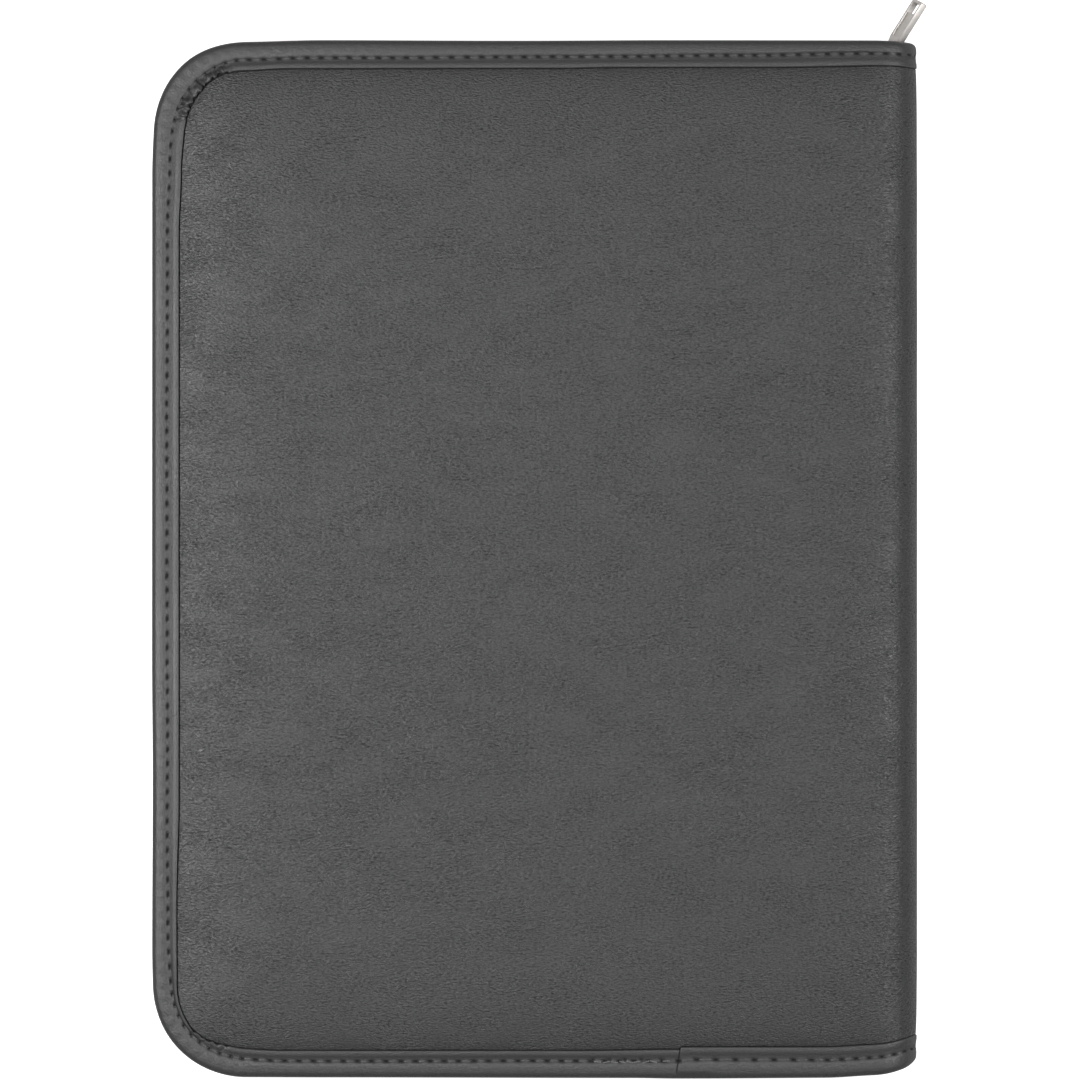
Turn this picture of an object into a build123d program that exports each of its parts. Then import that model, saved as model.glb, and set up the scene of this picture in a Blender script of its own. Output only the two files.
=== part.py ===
from build123d import *
import math
import os

# Zippered padfolio, lying closed on its front cover, seen from above on its back cover.
# +X points to the spine, +Y to the end of the zip that is closed, +Z up.
# The origin is on the table, under the middle of the covers.
# "Inset" is measured inwards from a cover's edge, "depth" inwards from a cover's outer face.

os.makedirs("parts", exist_ok=True)

# Whole object, closed
COVER_WIDTH = 250.0
COVER_HEIGHT = 340.0
CLOSED_THICKNESS = 24.0
CORNER_RADIUS = 30.0

# Layers of a cover
SKIN = 0.9
FOAM_CORE = 0.8
BOARD = 2.0
LINING = 0.6
BOARD_CLEARANCE = 0.2
LINING_RUN = 2.2
SPINE_HINGE_STRIP = 1.0

# Binding, a tape folded over the edge of each cover and of the spine
BINDING_TAPE = 0.8
BINDING_WIDTH = 9.2
BINDING_SETBACK = 0.4
NOSE_BEVEL_ANGLE = 45.0
SEAM_GAP = 0.2
PANEL_BEVEL = 3.6
OVERLAP_START = 47.5
OVERLAP_LENGTH = 14.0
OVERLAP_SLANT = 2.0
OVERLAP_TAPE = 0.35
BINDING_STEP_ANGLE = 5.0

# Spine, three strips that fold on four lines
SPINE_STRIPS = 3
FOLD_GAP = 0.3

# Zip
ZIP_TAPE = 0.8
ZIP_INSET = 8.0
ZIP_CLEARANCE = 0.6
TAPE_GAP = 5.2
TAIL_CLEARANCE = 0.3
TOOTH_PITCH = 4.0
TOOTH_ROOT = 2.4
TOOTH_TIP = 1.3
TOOTH_REACH = 0.95
TOOTH_THICKNESS = 2.4
STOP_LENGTH = 1.2
STOP_WALL = 0.6
STOP_GRIP = 1.2

# Slider
SLIDER_TAIL = 6.0
SLIDER_NOSE = 5.5
SLIDER_TAIL_WIDTH = 7.8
SLIDER_NOSE_WIDTH = 10.0
SLIDER_PLATE = 1.2
SLIDER_RAIL = 1.0
SLIDER_CORNER = 1.2
SLIDER_CLEARANCE = 0.3
TOOTH_CLEARANCE = 0.4
POST_LENGTH = 4.4
POST_WIDTH = 3.0
ARCH_STRAP = 0.9
ARCH_WIDTH = 1.6
ARCH_WINDOW_LENGTH = 2.6
ARCH_WINDOW_HEIGHT = 2.8
ARCH_TOE = 0.4

# Pull, hanging loosely from the arch
PULL_LENGTH = 19.8
PULL_WIDTH = 6.4
PULL_RIM = 2.2
PULL_RIM_WIDTH = 0.8
PULL_WEB = 1.2
PULL_TIP = 1.0
PULL_HOLE_LENGTH = 3.7
PULL_CORNER = 0.5
PULL_EYE_WIDTH = 3.0
PULL_EYE_LENGTH = 3.4
PULL_EYE_WIRE = 0.9
PULL_SHOULDER = 1.8
PULL_LEAN = 32.0
PULL_ROLL = 30.0
PULL_SEAT = 1.6

# Writing pad and its sleeve, on the back cover's lining
PAD_BOARD = 1.0
PAD_SHEETS = 4.5
PAD_HEAD_GAP = 11.6
PAD_FOOT_GAP = 14.6
PAD_SPINE_GAP = 14.4
HEAD_TAPE = 0.3
HEAD_TAPE_WIDTH = 12.0
SLEEVE_CLOTH = 0.6
SLEEVE_SEAM = 1.2
SLEEVE_CLEARANCE = 0.2
SLEEVE_HEIGHT = 205.0
SLEEVE_EDGE_GAP = 1.0

# Pen loop, an elastic band sewn beside the pad
PEN_BORE = 9.0
PEN_ELASTIC = 0.8
PEN_LOOP_LENGTH = 25.0
PEN_LOOP_BASE = 8.0
PEN_LOOP_GAP = 1.4
PEN_LOOP_DROP = 130.0

# Pockets on the front cover's lining
POCKET_CLOTH = 0.5
POCKET_WIDTH = 200.0
POCKET_HEIGHT = 215.0
POCKET_MARGIN = 2.0
CARD_SLOT_WIDTH = 96.0
CARD_SLOT_HEIGHT = 58.0
CARD_SLOT_STEP = 22.0
CARD_SLOT_DROP = 14.0

# Places worked out from the sizes above
MIDDLE = CLOSED_THICKNESS / 2
FORE_X = -COVER_WIDTH / 2
SPINE_X = COVER_WIDTH / 2 - MIDDLE
EDGE_Y = COVER_HEIGHT / 2
SPINE_AXIS = Axis((SPINE_X, 0, MIDDLE), (0, -1, 0))

FLANGE_DEPTH = BINDING_SETBACK + BINDING_TAPE
LINING_DEPTH = FLANGE_DEPTH + SKIN
BOARD_DEPTH = LINING_DEPTH + FOAM_CORE
FIELD_DEPTH = BOARD_DEPTH + BOARD
INSIDE_DEPTH = FIELD_DEPTH + LINING
ZIP_LEG_DEPTH = LINING_DEPTH + LINING
ZIP_LEG_END = ZIP_LEG_DEPTH + ZIP_TAPE
SPINE_BINDING_END = ZIP_LEG_DEPTH + BINDING_TAPE
COVER_BINDING_END = ZIP_LEG_END + BINDING_TAPE

COVER_NOSE = (COVER_BINDING_END - BINDING_SETBACK) / 2
SPINE_NOSE = (SPINE_BINDING_END - BINDING_SETBACK) / 2
FLANGE_INSET = COVER_NOSE
SEAM_INSET = BINDING_WIDTH + SEAM_GAP
FIELD_INSET = SEAM_INSET + PANEL_BEVEL
ZIP_INNER = ZIP_INSET + ZIP_TAPE / 2
ZIP_OUTER = ZIP_INSET - ZIP_TAPE / 2
INNER_LEG_WIDTH = ZIP_OUTER - ZIP_CLEARANCE
LINING_FOOT = ZIP_INNER + ZIP_CLEARANCE
LINING_FIELD = LINING_FOOT + LINING_RUN

FOLDS = SPINE_STRIPS + 1
FOLD_ANGLE = 180.0 / FOLDS
LIP_ANGLE = FOLD_ANGLE / 2
TAPE_EDGE = MIDDLE - TAPE_GAP / 2
TAIL_RADIUS = MIDDLE - SPINE_BINDING_END - TAIL_CLEARANCE
ZIP_Y = EDGE_Y - ZIP_INSET


def outline(inset, depth, spine_inset=0.0):
    """Outline of a cover, round at the fore edge's corners and straight along the spine."""
    left = FORE_X + inset
    right = SPINE_X - spine_inset
    sheet = Pos((left + right) / 2, 0, depth) * Rectangle(right - left, COVER_HEIGHT - 2 * inset)
    return fillet(sheet.vertices().group_by(Axis.X)[0], CORNER_RADIUS - inset)


def layer(inset, depth, thickness, spine_inset=0.0):
    """Flat layer of a cover."""
    return extrude(outline(inset, depth, spine_inset), thickness)


def rim(outer_inset, inner_inset, depth, thickness):
    """Strip of a flat layer that runs round the three open sides."""
    return layer(outer_inset, depth, thickness) - layer(inner_inset, depth, thickness)


def slope(top, foot, top_depth, foot_depth, top_spine=0.0, foot_spine=0.0):
    """Block with sloping sides, from its smaller outline at one depth to its larger one at another."""
    return loft([outline(top, top_depth, top_spine), outline(foot, foot_depth, foot_spine)], ruled=True)


def end_points(*points):
    """Points of a cross-section at the upper end of the spine side, from (inset, depth) pairs."""
    return [(SPINE_X, EDGE_Y - inset, depth) for inset, depth in points]


def spine_section(*points):
    """Cross-section of the spine from end to end, mirrored, from (inset, depth) pairs of one half."""
    half = end_points(*points)
    other = [(x, -y, z) for x, y, z in reversed(half)]
    return make_face(Polyline(*half, *other, close=True))


def roll(section, start, end):
    """Section rolled about the spine's axis, between two angles from straight down."""
    return revolve(section.rotate(SPINE_AXIS, start), SPINE_AXIS, end - start)


def binding_section(nose, inner_end):
    """Folded binding at the upper end of the spine side: face leg, pressed nose and inner leg."""
    place = Plane((SPINE_X, EDGE_Y, 0), x_dir=(0, -1, 0), z_dir=(-1, 0, 0))
    face = BINDING_SETBACK
    bevel = nose * (1 - math.tan(math.radians(NOSE_BEVEL_ANGLE / 2)))
    fold = Polyline((0, face + bevel), (bevel, face), (BINDING_WIDTH, face), (BINDING_WIDTH, face + BINDING_TAPE),
                    (FLANGE_INSET, face + BINDING_TAPE), (FLANGE_INSET, inner_end - BINDING_TAPE),
                    (INNER_LEG_WIDTH, inner_end - BINDING_TAPE), (INNER_LEG_WIDTH, inner_end), (bevel, inner_end),
                    (0, inner_end - bevel), close=True)
    return place * make_face(fold)


SKIN_SECTION = spine_section(
    (FLANGE_INSET, LINING_DEPTH), (FLANGE_INSET, FLANGE_DEPTH), (SEAM_INSET, FLANGE_DEPTH), (FIELD_INSET, 0))
SKIN_SECTION -= spine_section((SEAM_INSET, LINING_DEPTH), (FIELD_INSET, SKIN))
FOAM_SECTION = spine_section((SEAM_INSET, LINING_DEPTH), (FIELD_INSET, SKIN))
LINING_SECTION = spine_section((FLANGE_INSET, ZIP_LEG_DEPTH), (FLANGE_INSET, LINING_DEPTH))
SPINE_BINDING_SECTION = binding_section(SPINE_NOSE, SPINE_BINDING_END)
COVER_BINDING_SECTION = binding_section(COVER_NOSE, COVER_BINDING_END)
STEP_SECTION = make_face(Polyline(*end_points(
    (FLANGE_INSET, ZIP_LEG_DEPTH), (FLANGE_INSET, COVER_BINDING_END), (INNER_LEG_WIDTH, COVER_BINDING_END),
    (INNER_LEG_WIDTH, ZIP_LEG_DEPTH)), close=True))


def both_ends(piece):
    """A piece at the upper end of the spine and its twin at the lower end."""
    return piece + mirror(piece, Plane.XZ)


def lip(section):
    """Part of the spine's roll that belongs to a cover, up to the first fold."""
    return roll(section, 0, LIP_ANGLE - FOLD_GAP)


def strip(section, index):
    """One strip of the spine, between two folds."""
    start = LIP_ANGLE + FOLD_ANGLE * index
    return roll(section, start + FOLD_GAP, start + FOLD_ANGLE - FOLD_GAP)


# Cover layers, made for the front cover at the bottom

def cover_skin():
    """Leatherette, turned down to a flange that the binding holds and padded up in its field."""
    flange = layer(FLANGE_INSET, FLANGE_DEPTH, SKIN)
    field = slope(FIELD_INSET, SEAM_INSET, 0, FLANGE_DEPTH)
    hollow = slope(FIELD_INSET, SEAM_INSET, SKIN, LINING_DEPTH)
    return flange + field - hollow + lip(SKIN_SECTION)


def cover_foam():
    """Padding that fills the skin's hollow down to the board."""
    core_inset = LINING_FOOT + LINING_RUN * FOAM_CORE / (FOAM_CORE + BOARD) + BOARD_CLEARANCE
    core_spine = SPINE_HINGE_STRIP + core_inset - LINING_FOOT
    pad = slope(FIELD_INSET, SEAM_INSET, SKIN, LINING_DEPTH)
    core = layer(core_inset, LINING_DEPTH, FOAM_CORE, core_spine)
    return pad + core + lip(FOAM_SECTION)


def cover_board():
    """Stiff board, stopped short of the spine so that the spine can bend."""
    spine_inset = SPINE_HINGE_STRIP + LINING_RUN + BOARD_CLEARANCE
    return layer(LINING_FIELD + BOARD_CLEARANCE, BOARD_DEPTH, BOARD, spine_inset)


def cover_lining():
    """Lining cloth over the board, sewn down to the skin's flange round the edge and at the spine."""
    spine_foot = SPINE_HINGE_STRIP
    spine_top = SPINE_HINGE_STRIP + LINING_RUN
    flange = layer(FLANGE_INSET, LINING_DEPTH, LINING)
    cloth = slope(LINING_FIELD, LINING_FOOT, INSIDE_DEPTH, ZIP_LEG_DEPTH, spine_top, spine_foot)
    hollow = slope(LINING_FIELD, LINING_FOOT, FIELD_DEPTH, LINING_DEPTH, spine_top, spine_foot)
    return flange + cloth - hollow + lip(LINING_SECTION)


def cover_binding():
    """Binding round the three open sides, stepping down past the zip tape to go on round the spine's roll."""
    run = SPINE_X - FORE_X - CORNER_RADIUS
    corner_axis = Axis((FORE_X + CORNER_RADIUS, EDGE_Y - CORNER_RADIUS, 0), (0, 0, 1))
    corner_start = Pos(-run, 0, 0) * COVER_BINDING_SECTION
    corner_end = corner_start.rotate(corner_axis, 90)
    upper_run = extrude(COVER_BINDING_SECTION, run, dir=(-1, 0, 0))
    corner = revolve(corner_start, corner_axis, 90)
    side_run = extrude(corner_end, EDGE_Y - CORNER_RADIUS, dir=(0, -1, 0))
    step = roll(STEP_SECTION, 0, BINDING_STEP_ANGLE)
    return both_ends(upper_run + corner + side_run + step + lip(SPINE_BINDING_SECTION))


def binding_overlap():
    """Free end of the binding, laid over its start on the lower edge with a slanting cut."""
    width = BINDING_WIDTH - COVER_NOSE + SEAM_GAP / 2
    top = EDGE_Y - COVER_NOSE - width
    bottom = EDGE_Y - COVER_NOSE
    end = OVERLAP_START + OVERLAP_LENGTH
    patch = make_face(Polyline((OVERLAP_START, -top), (end, -top), (end, -bottom),
                               (OVERLAP_START - OVERLAP_SLANT, -bottom), close=True))
    return extrude(Pos(0, 0, BINDING_SETBACK - OVERLAP_TAPE) * patch, OVERLAP_TAPE)


def zip_tape():
    """Woven tape: a leg held in the binding, and a wall that stands up to carry the teeth."""
    leg = rim(FLANGE_INSET, ZIP_INNER, ZIP_LEG_DEPTH, ZIP_TAPE)
    wall = rim(ZIP_OUTER, ZIP_INNER, ZIP_LEG_DEPTH, TAPE_EDGE - ZIP_LEG_DEPTH)
    tail_height = TAPE_EDGE - ZIP_LEG_DEPTH
    tail = Pos(SPINE_X + TAIL_RADIUS / 2, ZIP_Y, ZIP_LEG_DEPTH + tail_height / 2) * Box(
        TAIL_RADIUS, ZIP_TAPE, tail_height)
    roll_space = Pos(SPINE_X, ZIP_Y, MIDDLE) * Rot(90, 0, 0) * Cylinder(TAIL_RADIUS, 2 * ZIP_TAPE)
    return leg + wall + both_ends(tail & roll_space)


STOP_HEIGHT = STOP_GRIP + STOP_WALL
STOP_FOOT = TAPE_EDGE - STOP_GRIP
STOP_END = SPINE_X + math.sqrt(TAIL_RADIUS ** 2 - (MIDDLE - STOP_FOOT) ** 2) - TAIL_CLEARANCE / 2
STOP_START = STOP_END - STOP_LENGTH
SLIDER_X = STOP_START - SLIDER_CLEARANCE - SLIDER_NOSE


def zip_stops():
    """Two metal clips, folded over the edge of the tape at the two ends of the teeth."""
    clip = Box(STOP_LENGTH, ZIP_TAPE + 2 * STOP_WALL, STOP_HEIGHT)
    clip -= Pos(0, 0, -STOP_WALL / 2) * Box(STOP_LENGTH, ZIP_TAPE, STOP_GRIP)
    place = (STOP_START + STOP_END) / 2
    return both_ends(Pos(place, ZIP_Y, STOP_FOOT + STOP_HEIGHT / 2) * clip)


def zip_teeth(offset):
    """Row of teeth on the edge of a tape, round both corners, shifted along it by an offset."""
    height = MIDDLE + TOOTH_REACH - TAPE_EDGE
    side = Plane.XZ * make_face(Polyline((-TOOTH_ROOT / 2, 0), (TOOTH_ROOT / 2, 0), (TOOTH_TIP / 2, height),
                                         (-TOOTH_TIP / 2, height), close=True))
    tooth = extrude(side, TOOTH_THICKNESS / 2, both=True)
    first_x = SLIDER_X - SLIDER_TAIL + TOOTH_PITCH
    last_x = STOP_START - TOOTH_PITCH / 2
    path = FilletPolyline((first_x, ZIP_Y, TAPE_EDGE), (FORE_X + ZIP_INSET, ZIP_Y, TAPE_EDGE),
                          (FORE_X + ZIP_INSET, -ZIP_Y, TAPE_EDGE), (last_x, -ZIP_Y, TAPE_EDGE),
                          radius=CORNER_RADIUS - ZIP_INSET)
    row = []
    distance = TOOTH_ROOT / 2 + offset
    while distance < path.length - TOOTH_ROOT / 2:
        point = path.position_at(distance, position_mode=PositionMode.LENGTH)
        along = path.tangent_at(distance, position_mode=PositionMode.LENGTH)
        turn = math.degrees(math.atan2(along.Y, along.X))
        row.append(Pos(point) * Rot(0, 0, turn) * tooth)
        distance += TOOTH_PITCH
    return Compound(children=row)


# Slider and pull

PLATE_GAP = TOOTH_THICKNESS / 2 + TOOTH_CLEARANCE
PLATE_TOP = PLATE_GAP + SLIDER_PLATE
TAPE_SLOT = ZIP_TAPE / 2 + SLIDER_CLEARANCE
ARCH_LENGTH = ARCH_WINDOW_LENGTH + 2 * ARCH_STRAP
ARCH_S = SLIDER_NOSE - ARCH_TOE - ARCH_LENGTH / 2
ARCH_TOP = PLATE_TOP + ARCH_WINDOW_HEIGHT + ARCH_STRAP


def slider_body():
    """Die-cast slider: two plates joined by a post, rails that guide the tapes, and the pull's arch."""
    tail_half = SLIDER_TAIL_WIDTH / 2
    nose_half = SLIDER_NOSE_WIDTH / 2
    plan = make_face(Polyline((-SLIDER_TAIL, -tail_half), (SLIDER_NOSE, -nose_half), (SLIDER_NOSE, nose_half),
                              (-SLIDER_TAIL, tail_half), close=True))
    plan = fillet(plan.vertices(), SLIDER_CORNER)
    tail_way = tail_half - SLIDER_RAIL
    nose_way = nose_half - SLIDER_RAIL
    way = make_face(Polyline((-2 * SLIDER_TAIL, -tail_way), (0, -tail_way), (SLIDER_NOSE, -nose_way),
                             (2 * SLIDER_NOSE, -nose_way), (2 * SLIDER_NOSE, nose_way), (SLIDER_NOSE, nose_way),
                             (0, tail_way), (-2 * SLIDER_TAIL, tail_way), close=True))
    plate = extrude(Pos(0, 0, PLATE_GAP) * plan, SLIDER_PLATE)
    rails = extrude(Pos(0, 0, TAPE_SLOT) * (plan - way), PLATE_GAP - TAPE_SLOT)
    shell = plate + rails
    post_end = SLIDER_NOSE - SLIDER_CLEARANCE
    post_plan = make_face(Polyline((post_end - POST_LENGTH, 0), (post_end - POST_LENGTH / 2, POST_WIDTH / 2),
                                   (post_end, POST_WIDTH / 3), (post_end, -POST_WIDTH / 3),
                                   (post_end - POST_LENGTH / 2, -POST_WIDTH / 2), close=True))
    post = extrude(post_plan, PLATE_GAP, both=True)
    hoop = Plane.XZ * Pos(ARCH_S, PLATE_TOP + (ARCH_TOP - PLATE_TOP) / 2) * Rectangle(
        ARCH_LENGTH, ARCH_TOP - PLATE_TOP)
    hoop = fillet(hoop.vertices().group_by(Axis.Z)[-1], ARCH_STRAP)
    hoop -= Plane.XZ * Pos(ARCH_S, PLATE_TOP + ARCH_WINDOW_HEIGHT / 2) * Rectangle(
        ARCH_WINDOW_LENGTH, ARCH_WINDOW_HEIGHT)
    arch = extrude(hoop, ARCH_WIDTH / 2, both=True)
    body = shell + mirror(shell, Plane.XY) + post + arch
    return Pos(SLIDER_X, ZIP_Y, MIDDLE) * Rot(-90, 0, 0) * body


PIVOT = Vector(SLIDER_X + ARCH_S, ZIP_Y + PLATE_TOP + PULL_SEAT, MIDDLE)


def pull_tab():
    """Pull: an eye on the slider's arch, and a tab with raised rims and a slot near its tip."""
    eye_half = PULL_EYE_WIDTH / 2
    neck_half = eye_half + PULL_EYE_WIRE
    wide_half = PULL_WIDTH / 2
    shoulder = PULL_EYE_LENGTH + PULL_SHOULDER
    bar = Rot(90, 0, 0) * Cylinder(PULL_EYE_WIRE / 2, 2 * neck_half)
    eye = Pos(PULL_EYE_LENGTH / 2, 0, 0) * Box(PULL_EYE_LENGTH, 2 * neck_half, PULL_EYE_WIRE)
    eye -= Pos(PULL_EYE_LENGTH / 2, 0, 0) * Box(PULL_EYE_LENGTH, PULL_EYE_WIDTH, PULL_EYE_WIRE)
    plan = make_face(Polyline((PULL_EYE_LENGTH, -neck_half), (shoulder, -wide_half), (PULL_LENGTH, -wide_half),
                              (PULL_LENGTH, wide_half), (shoulder, wide_half), (PULL_EYE_LENGTH, neck_half),
                              close=True))
    plan = fillet(plan.vertices().group_by(Axis.X)[-1], PULL_CORNER)
    hollow_start = shoulder + PULL_RIM_WIDTH
    hollow_end = PULL_LENGTH - PULL_TIP
    hollow_width = PULL_WIDTH - 2 * PULL_RIM_WIDTH
    hollow = Pos((hollow_start + hollow_end) / 2, 0) * Rectangle(hollow_end - hollow_start, hollow_width)
    hole = Pos(hollow_end - PULL_HOLE_LENGTH / 2, 0) * Rectangle(PULL_HOLE_LENGTH, hollow_width)
    tab = extrude(plan - hollow, PULL_RIM / 2, both=True) + extrude(hollow - hole, PULL_WEB / 2, both=True)
    place = Plane(PIVOT, x_dir=(1, 0, 0), z_dir=(0, 1, 0))
    return place.location * Rot(0, PULL_LEAN - 90, 0) * Rot(PULL_ROLL, 0, 0) * (bar + eye + tab)


# Things inside

def on_back(left, right, bottom, top, depth, thickness):
    """Flat piece on the inside of the back cover, given by its edges."""
    return Pos((left + right) / 2, (bottom + top) / 2, CLOSED_THICKNESS - depth - thickness / 2) * Box(
        right - left, top - bottom, thickness)


SLEEVE_LEFT = FORE_X + LINING_FIELD + SLEEVE_EDGE_GAP
PAD_LEFT = SLEEVE_LEFT + SLEEVE_SEAM + SLEEVE_CLEARANCE
PAD_WIDTH = SPINE_X - PAD_SPINE_GAP - PAD_LEFT
PAD_RIGHT = PAD_LEFT + PAD_WIDTH
SLEEVE_RIGHT = PAD_RIGHT + SLEEVE_CLEARANCE + SLEEVE_SEAM
PAD_HEIGHT = 2 * (ZIP_Y - ZIP_TAPE / 2) - PAD_HEAD_GAP - PAD_FOOT_GAP
PAD_TOP = ZIP_Y - ZIP_TAPE / 2 - PAD_HEAD_GAP
PAD_BOTTOM = PAD_TOP - PAD_HEIGHT
SLEEVE_BOTTOM = PAD_BOTTOM - SLEEVE_CLEARANCE - SLEEVE_SEAM
SLEEVE_DEPTH = INSIDE_DEPTH + PAD_BOARD
SHEETS_DEPTH = SLEEVE_DEPTH + SLEEVE_CLOTH
PAD_FACE = SHEETS_DEPTH + PAD_SHEETS


def pad_backing_board():
    """Grey board behind the paper, pushed down into the sleeve."""
    return on_back(PAD_LEFT, PAD_RIGHT, PAD_BOTTOM, PAD_TOP, INSIDE_DEPTH, PAD_BOARD)


def pad_sheets():
    """Block of paper, in front of the sleeve."""
    return on_back(PAD_LEFT, PAD_RIGHT, PAD_BOTTOM, PAD_TOP, SHEETS_DEPTH, PAD_SHEETS)


def pad_head_tape():
    """Strip glued over the head of the pad, from the top sheet to the board."""
    front = on_back(PAD_LEFT, PAD_RIGHT, PAD_TOP - HEAD_TAPE_WIDTH, PAD_TOP, PAD_FACE, HEAD_TAPE)
    end = on_back(PAD_LEFT, PAD_RIGHT, PAD_TOP, PAD_TOP + HEAD_TAPE, INSIDE_DEPTH,
                  PAD_FACE + HEAD_TAPE - INSIDE_DEPTH)
    return front + end


def pad_sleeve():
    """Pocket that holds the pad's board, sewn to the lining on three sides and open at the top."""
    top = SLEEVE_BOTTOM + SLEEVE_HEIGHT
    pocket = on_back(SLEEVE_LEFT, SLEEVE_RIGHT, SLEEVE_BOTTOM, top, INSIDE_DEPTH, PAD_BOARD + SLEEVE_CLOTH)
    space = on_back(PAD_LEFT - SLEEVE_CLEARANCE, PAD_RIGHT + SLEEVE_CLEARANCE, PAD_BOTTOM - SLEEVE_CLEARANCE,
                    PAD_TOP, INSIDE_DEPTH, PAD_BOARD)
    return pocket - space


def pen_loop():
    """Elastic band round the place of a pen, with its ends sewn flat to the lining."""
    outer = PEN_BORE / 2 + PEN_ELASTIC
    x = SLEEVE_RIGHT + PEN_LOOP_GAP + outer - PEN_ELASTIC
    z = CLOSED_THICKNESS - INSIDE_DEPTH - outer
    band = Rot(90, 0, 0) * Cylinder(outer, PEN_LOOP_LENGTH)
    base = Pos(0, 0, outer - PEN_ELASTIC / 2) * Box(PEN_LOOP_BASE, PEN_LOOP_LENGTH, PEN_ELASTIC)
    bore = Rot(90, 0, 0) * Cylinder(PEN_BORE / 2, PEN_LOOP_LENGTH)
    return Pos(x, PAD_TOP - PEN_LOOP_DROP, z) * (band + base - bore)


def on_front(left, right, bottom, top, depth):
    """Pocket panel on the inside of the front cover, given by its edges."""
    return Pos((left + right) / 2, (bottom + top) / 2, depth + POCKET_CLOTH / 2) * Box(
        right - left, top - bottom, POCKET_CLOTH)


POCKET_LEFT = FORE_X + LINING_FIELD + POCKET_MARGIN
POCKET_BOTTOM = -EDGE_Y + LINING_FIELD + POCKET_MARGIN
POCKET_TOP = POCKET_BOTTOM + POCKET_HEIGHT


def document_pocket():
    """Large flat pocket, sewn on three sides and open at the top."""
    panel = on_front(POCKET_LEFT, POCKET_LEFT + POCKET_WIDTH, POCKET_BOTTOM, POCKET_TOP, INSIDE_DEPTH)
    corner = panel.edges().filter_by(Axis.Z).group_by(Axis.Y)[0].sort_by(Axis.X)[0]
    return fillet(corner, CORNER_RADIUS - LINING_FIELD - POCKET_MARGIN)


def card_slot(level):
    """Card slot on the document pocket. Each one overlaps the slot behind it."""
    left = POCKET_LEFT + (POCKET_WIDTH - CARD_SLOT_WIDTH) / 2
    top = POCKET_TOP - CARD_SLOT_DROP - CARD_SLOT_STEP * level
    depth = INSIDE_DEPTH + POCKET_CLOTH * (1 + level)
    return on_front(left, left + CARD_SLOT_WIDTH, top - CARD_SLOT_HEIGHT, top, depth)


# All pieces by name
MIDDLE_PLANE = Plane.XY.offset(MIDDLE)


def back(piece):
    """The back cover's twin of a piece of the front cover."""
    return mirror(piece, MIDDLE_PLANE)


pieces = {}
for name, make in [("cover_skin", cover_skin), ("cover_foam", cover_foam), ("cover_board", cover_board),
                   ("cover_lining", cover_lining), ("zip_tape", zip_tape), ("zip_stops", zip_stops)]:
    pieces["front_" + name] = make()
    pieces["back_" + name] = back(pieces["front_" + name])

pieces["front_binding"] = cover_binding()
pieces["back_binding"] = back(pieces["front_binding"] + binding_overlap())
pieces["front_zip_teeth"] = zip_teeth(0)
pieces["back_zip_teeth"] = back(zip_teeth(TOOTH_PITCH / 2))

for index, place in enumerate(["lower", "middle", "upper"]):
    pieces[f"spine_{place}_skin"] = strip(SKIN_SECTION, index)
    pieces[f"spine_{place}_foam"] = strip(FOAM_SECTION, index)
    pieces[f"spine_{place}_lining"] = strip(LINING_SECTION, index)
    pieces[f"spine_{place}_binding"] = both_ends(strip(SPINE_BINDING_SECTION, index))

pieces["slider_body"] = slider_body()
pieces["pull_tab"] = pull_tab()
pieces["pad_sleeve"] = pad_sleeve()
pieces["pad_backing_board"] = pad_backing_board()
pieces["pad_sheets"] = pad_sheets()
pieces["pad_head_tape"] = pad_head_tape()
pieces["pen_loop"] = pen_loop()
pieces["document_pocket"] = document_pocket()
pieces["card_slot_upper"] = card_slot(0)
pieces["card_slot_lower"] = card_slot(1)

for name, piece in pieces.items():
    export_step(piece, f"parts/{name}.step")
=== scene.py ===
import math

import bmesh
import bpy
import numpy as np
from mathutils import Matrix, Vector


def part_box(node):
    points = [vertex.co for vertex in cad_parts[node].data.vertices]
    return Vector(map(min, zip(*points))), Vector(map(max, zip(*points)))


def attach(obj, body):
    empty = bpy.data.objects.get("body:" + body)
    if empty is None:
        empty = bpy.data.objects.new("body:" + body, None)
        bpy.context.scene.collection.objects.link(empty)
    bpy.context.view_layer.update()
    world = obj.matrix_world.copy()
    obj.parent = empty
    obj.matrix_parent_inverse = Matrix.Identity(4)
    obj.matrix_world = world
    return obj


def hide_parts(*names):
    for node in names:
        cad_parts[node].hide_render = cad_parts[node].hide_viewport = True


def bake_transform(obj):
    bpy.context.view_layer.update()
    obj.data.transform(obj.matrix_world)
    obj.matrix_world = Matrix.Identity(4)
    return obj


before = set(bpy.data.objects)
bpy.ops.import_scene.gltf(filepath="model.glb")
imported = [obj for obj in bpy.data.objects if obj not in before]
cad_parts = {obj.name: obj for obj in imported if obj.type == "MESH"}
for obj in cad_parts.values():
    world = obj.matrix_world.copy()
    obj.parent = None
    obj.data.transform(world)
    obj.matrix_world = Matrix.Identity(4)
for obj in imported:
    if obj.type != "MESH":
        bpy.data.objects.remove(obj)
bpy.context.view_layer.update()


# Cover boards: stiff greyboard, die cut to the outline of a cover, one in each cover.
# They are glued between the padding and the lining and hardly ever show, so the frame's own solids stay.
BOARD_COLOR = (0.26, 0.24, 0.21, 1.0)
BOARD_CONTRAST = 0.35
BOARD_RELIEF = 0.00005
PULP_FIBRES = 900.0
PULP_CLOUDS = 60.0


def add_node(tree, kind, inputs=(), **settings):
    """A node of that kind. Inputs pairs a socket's name or number with a value or with a socket to link."""
    node = tree.nodes.new(kind)
    for name, value in settings.items():
        setattr(node, name, value)
    for socket, value in dict(inputs).items():
        if isinstance(value, bpy.types.NodeSocket):
            tree.links.new(value, node.inputs[socket])
        else:
            node.inputs[socket].default_value = value
    return node


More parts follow.
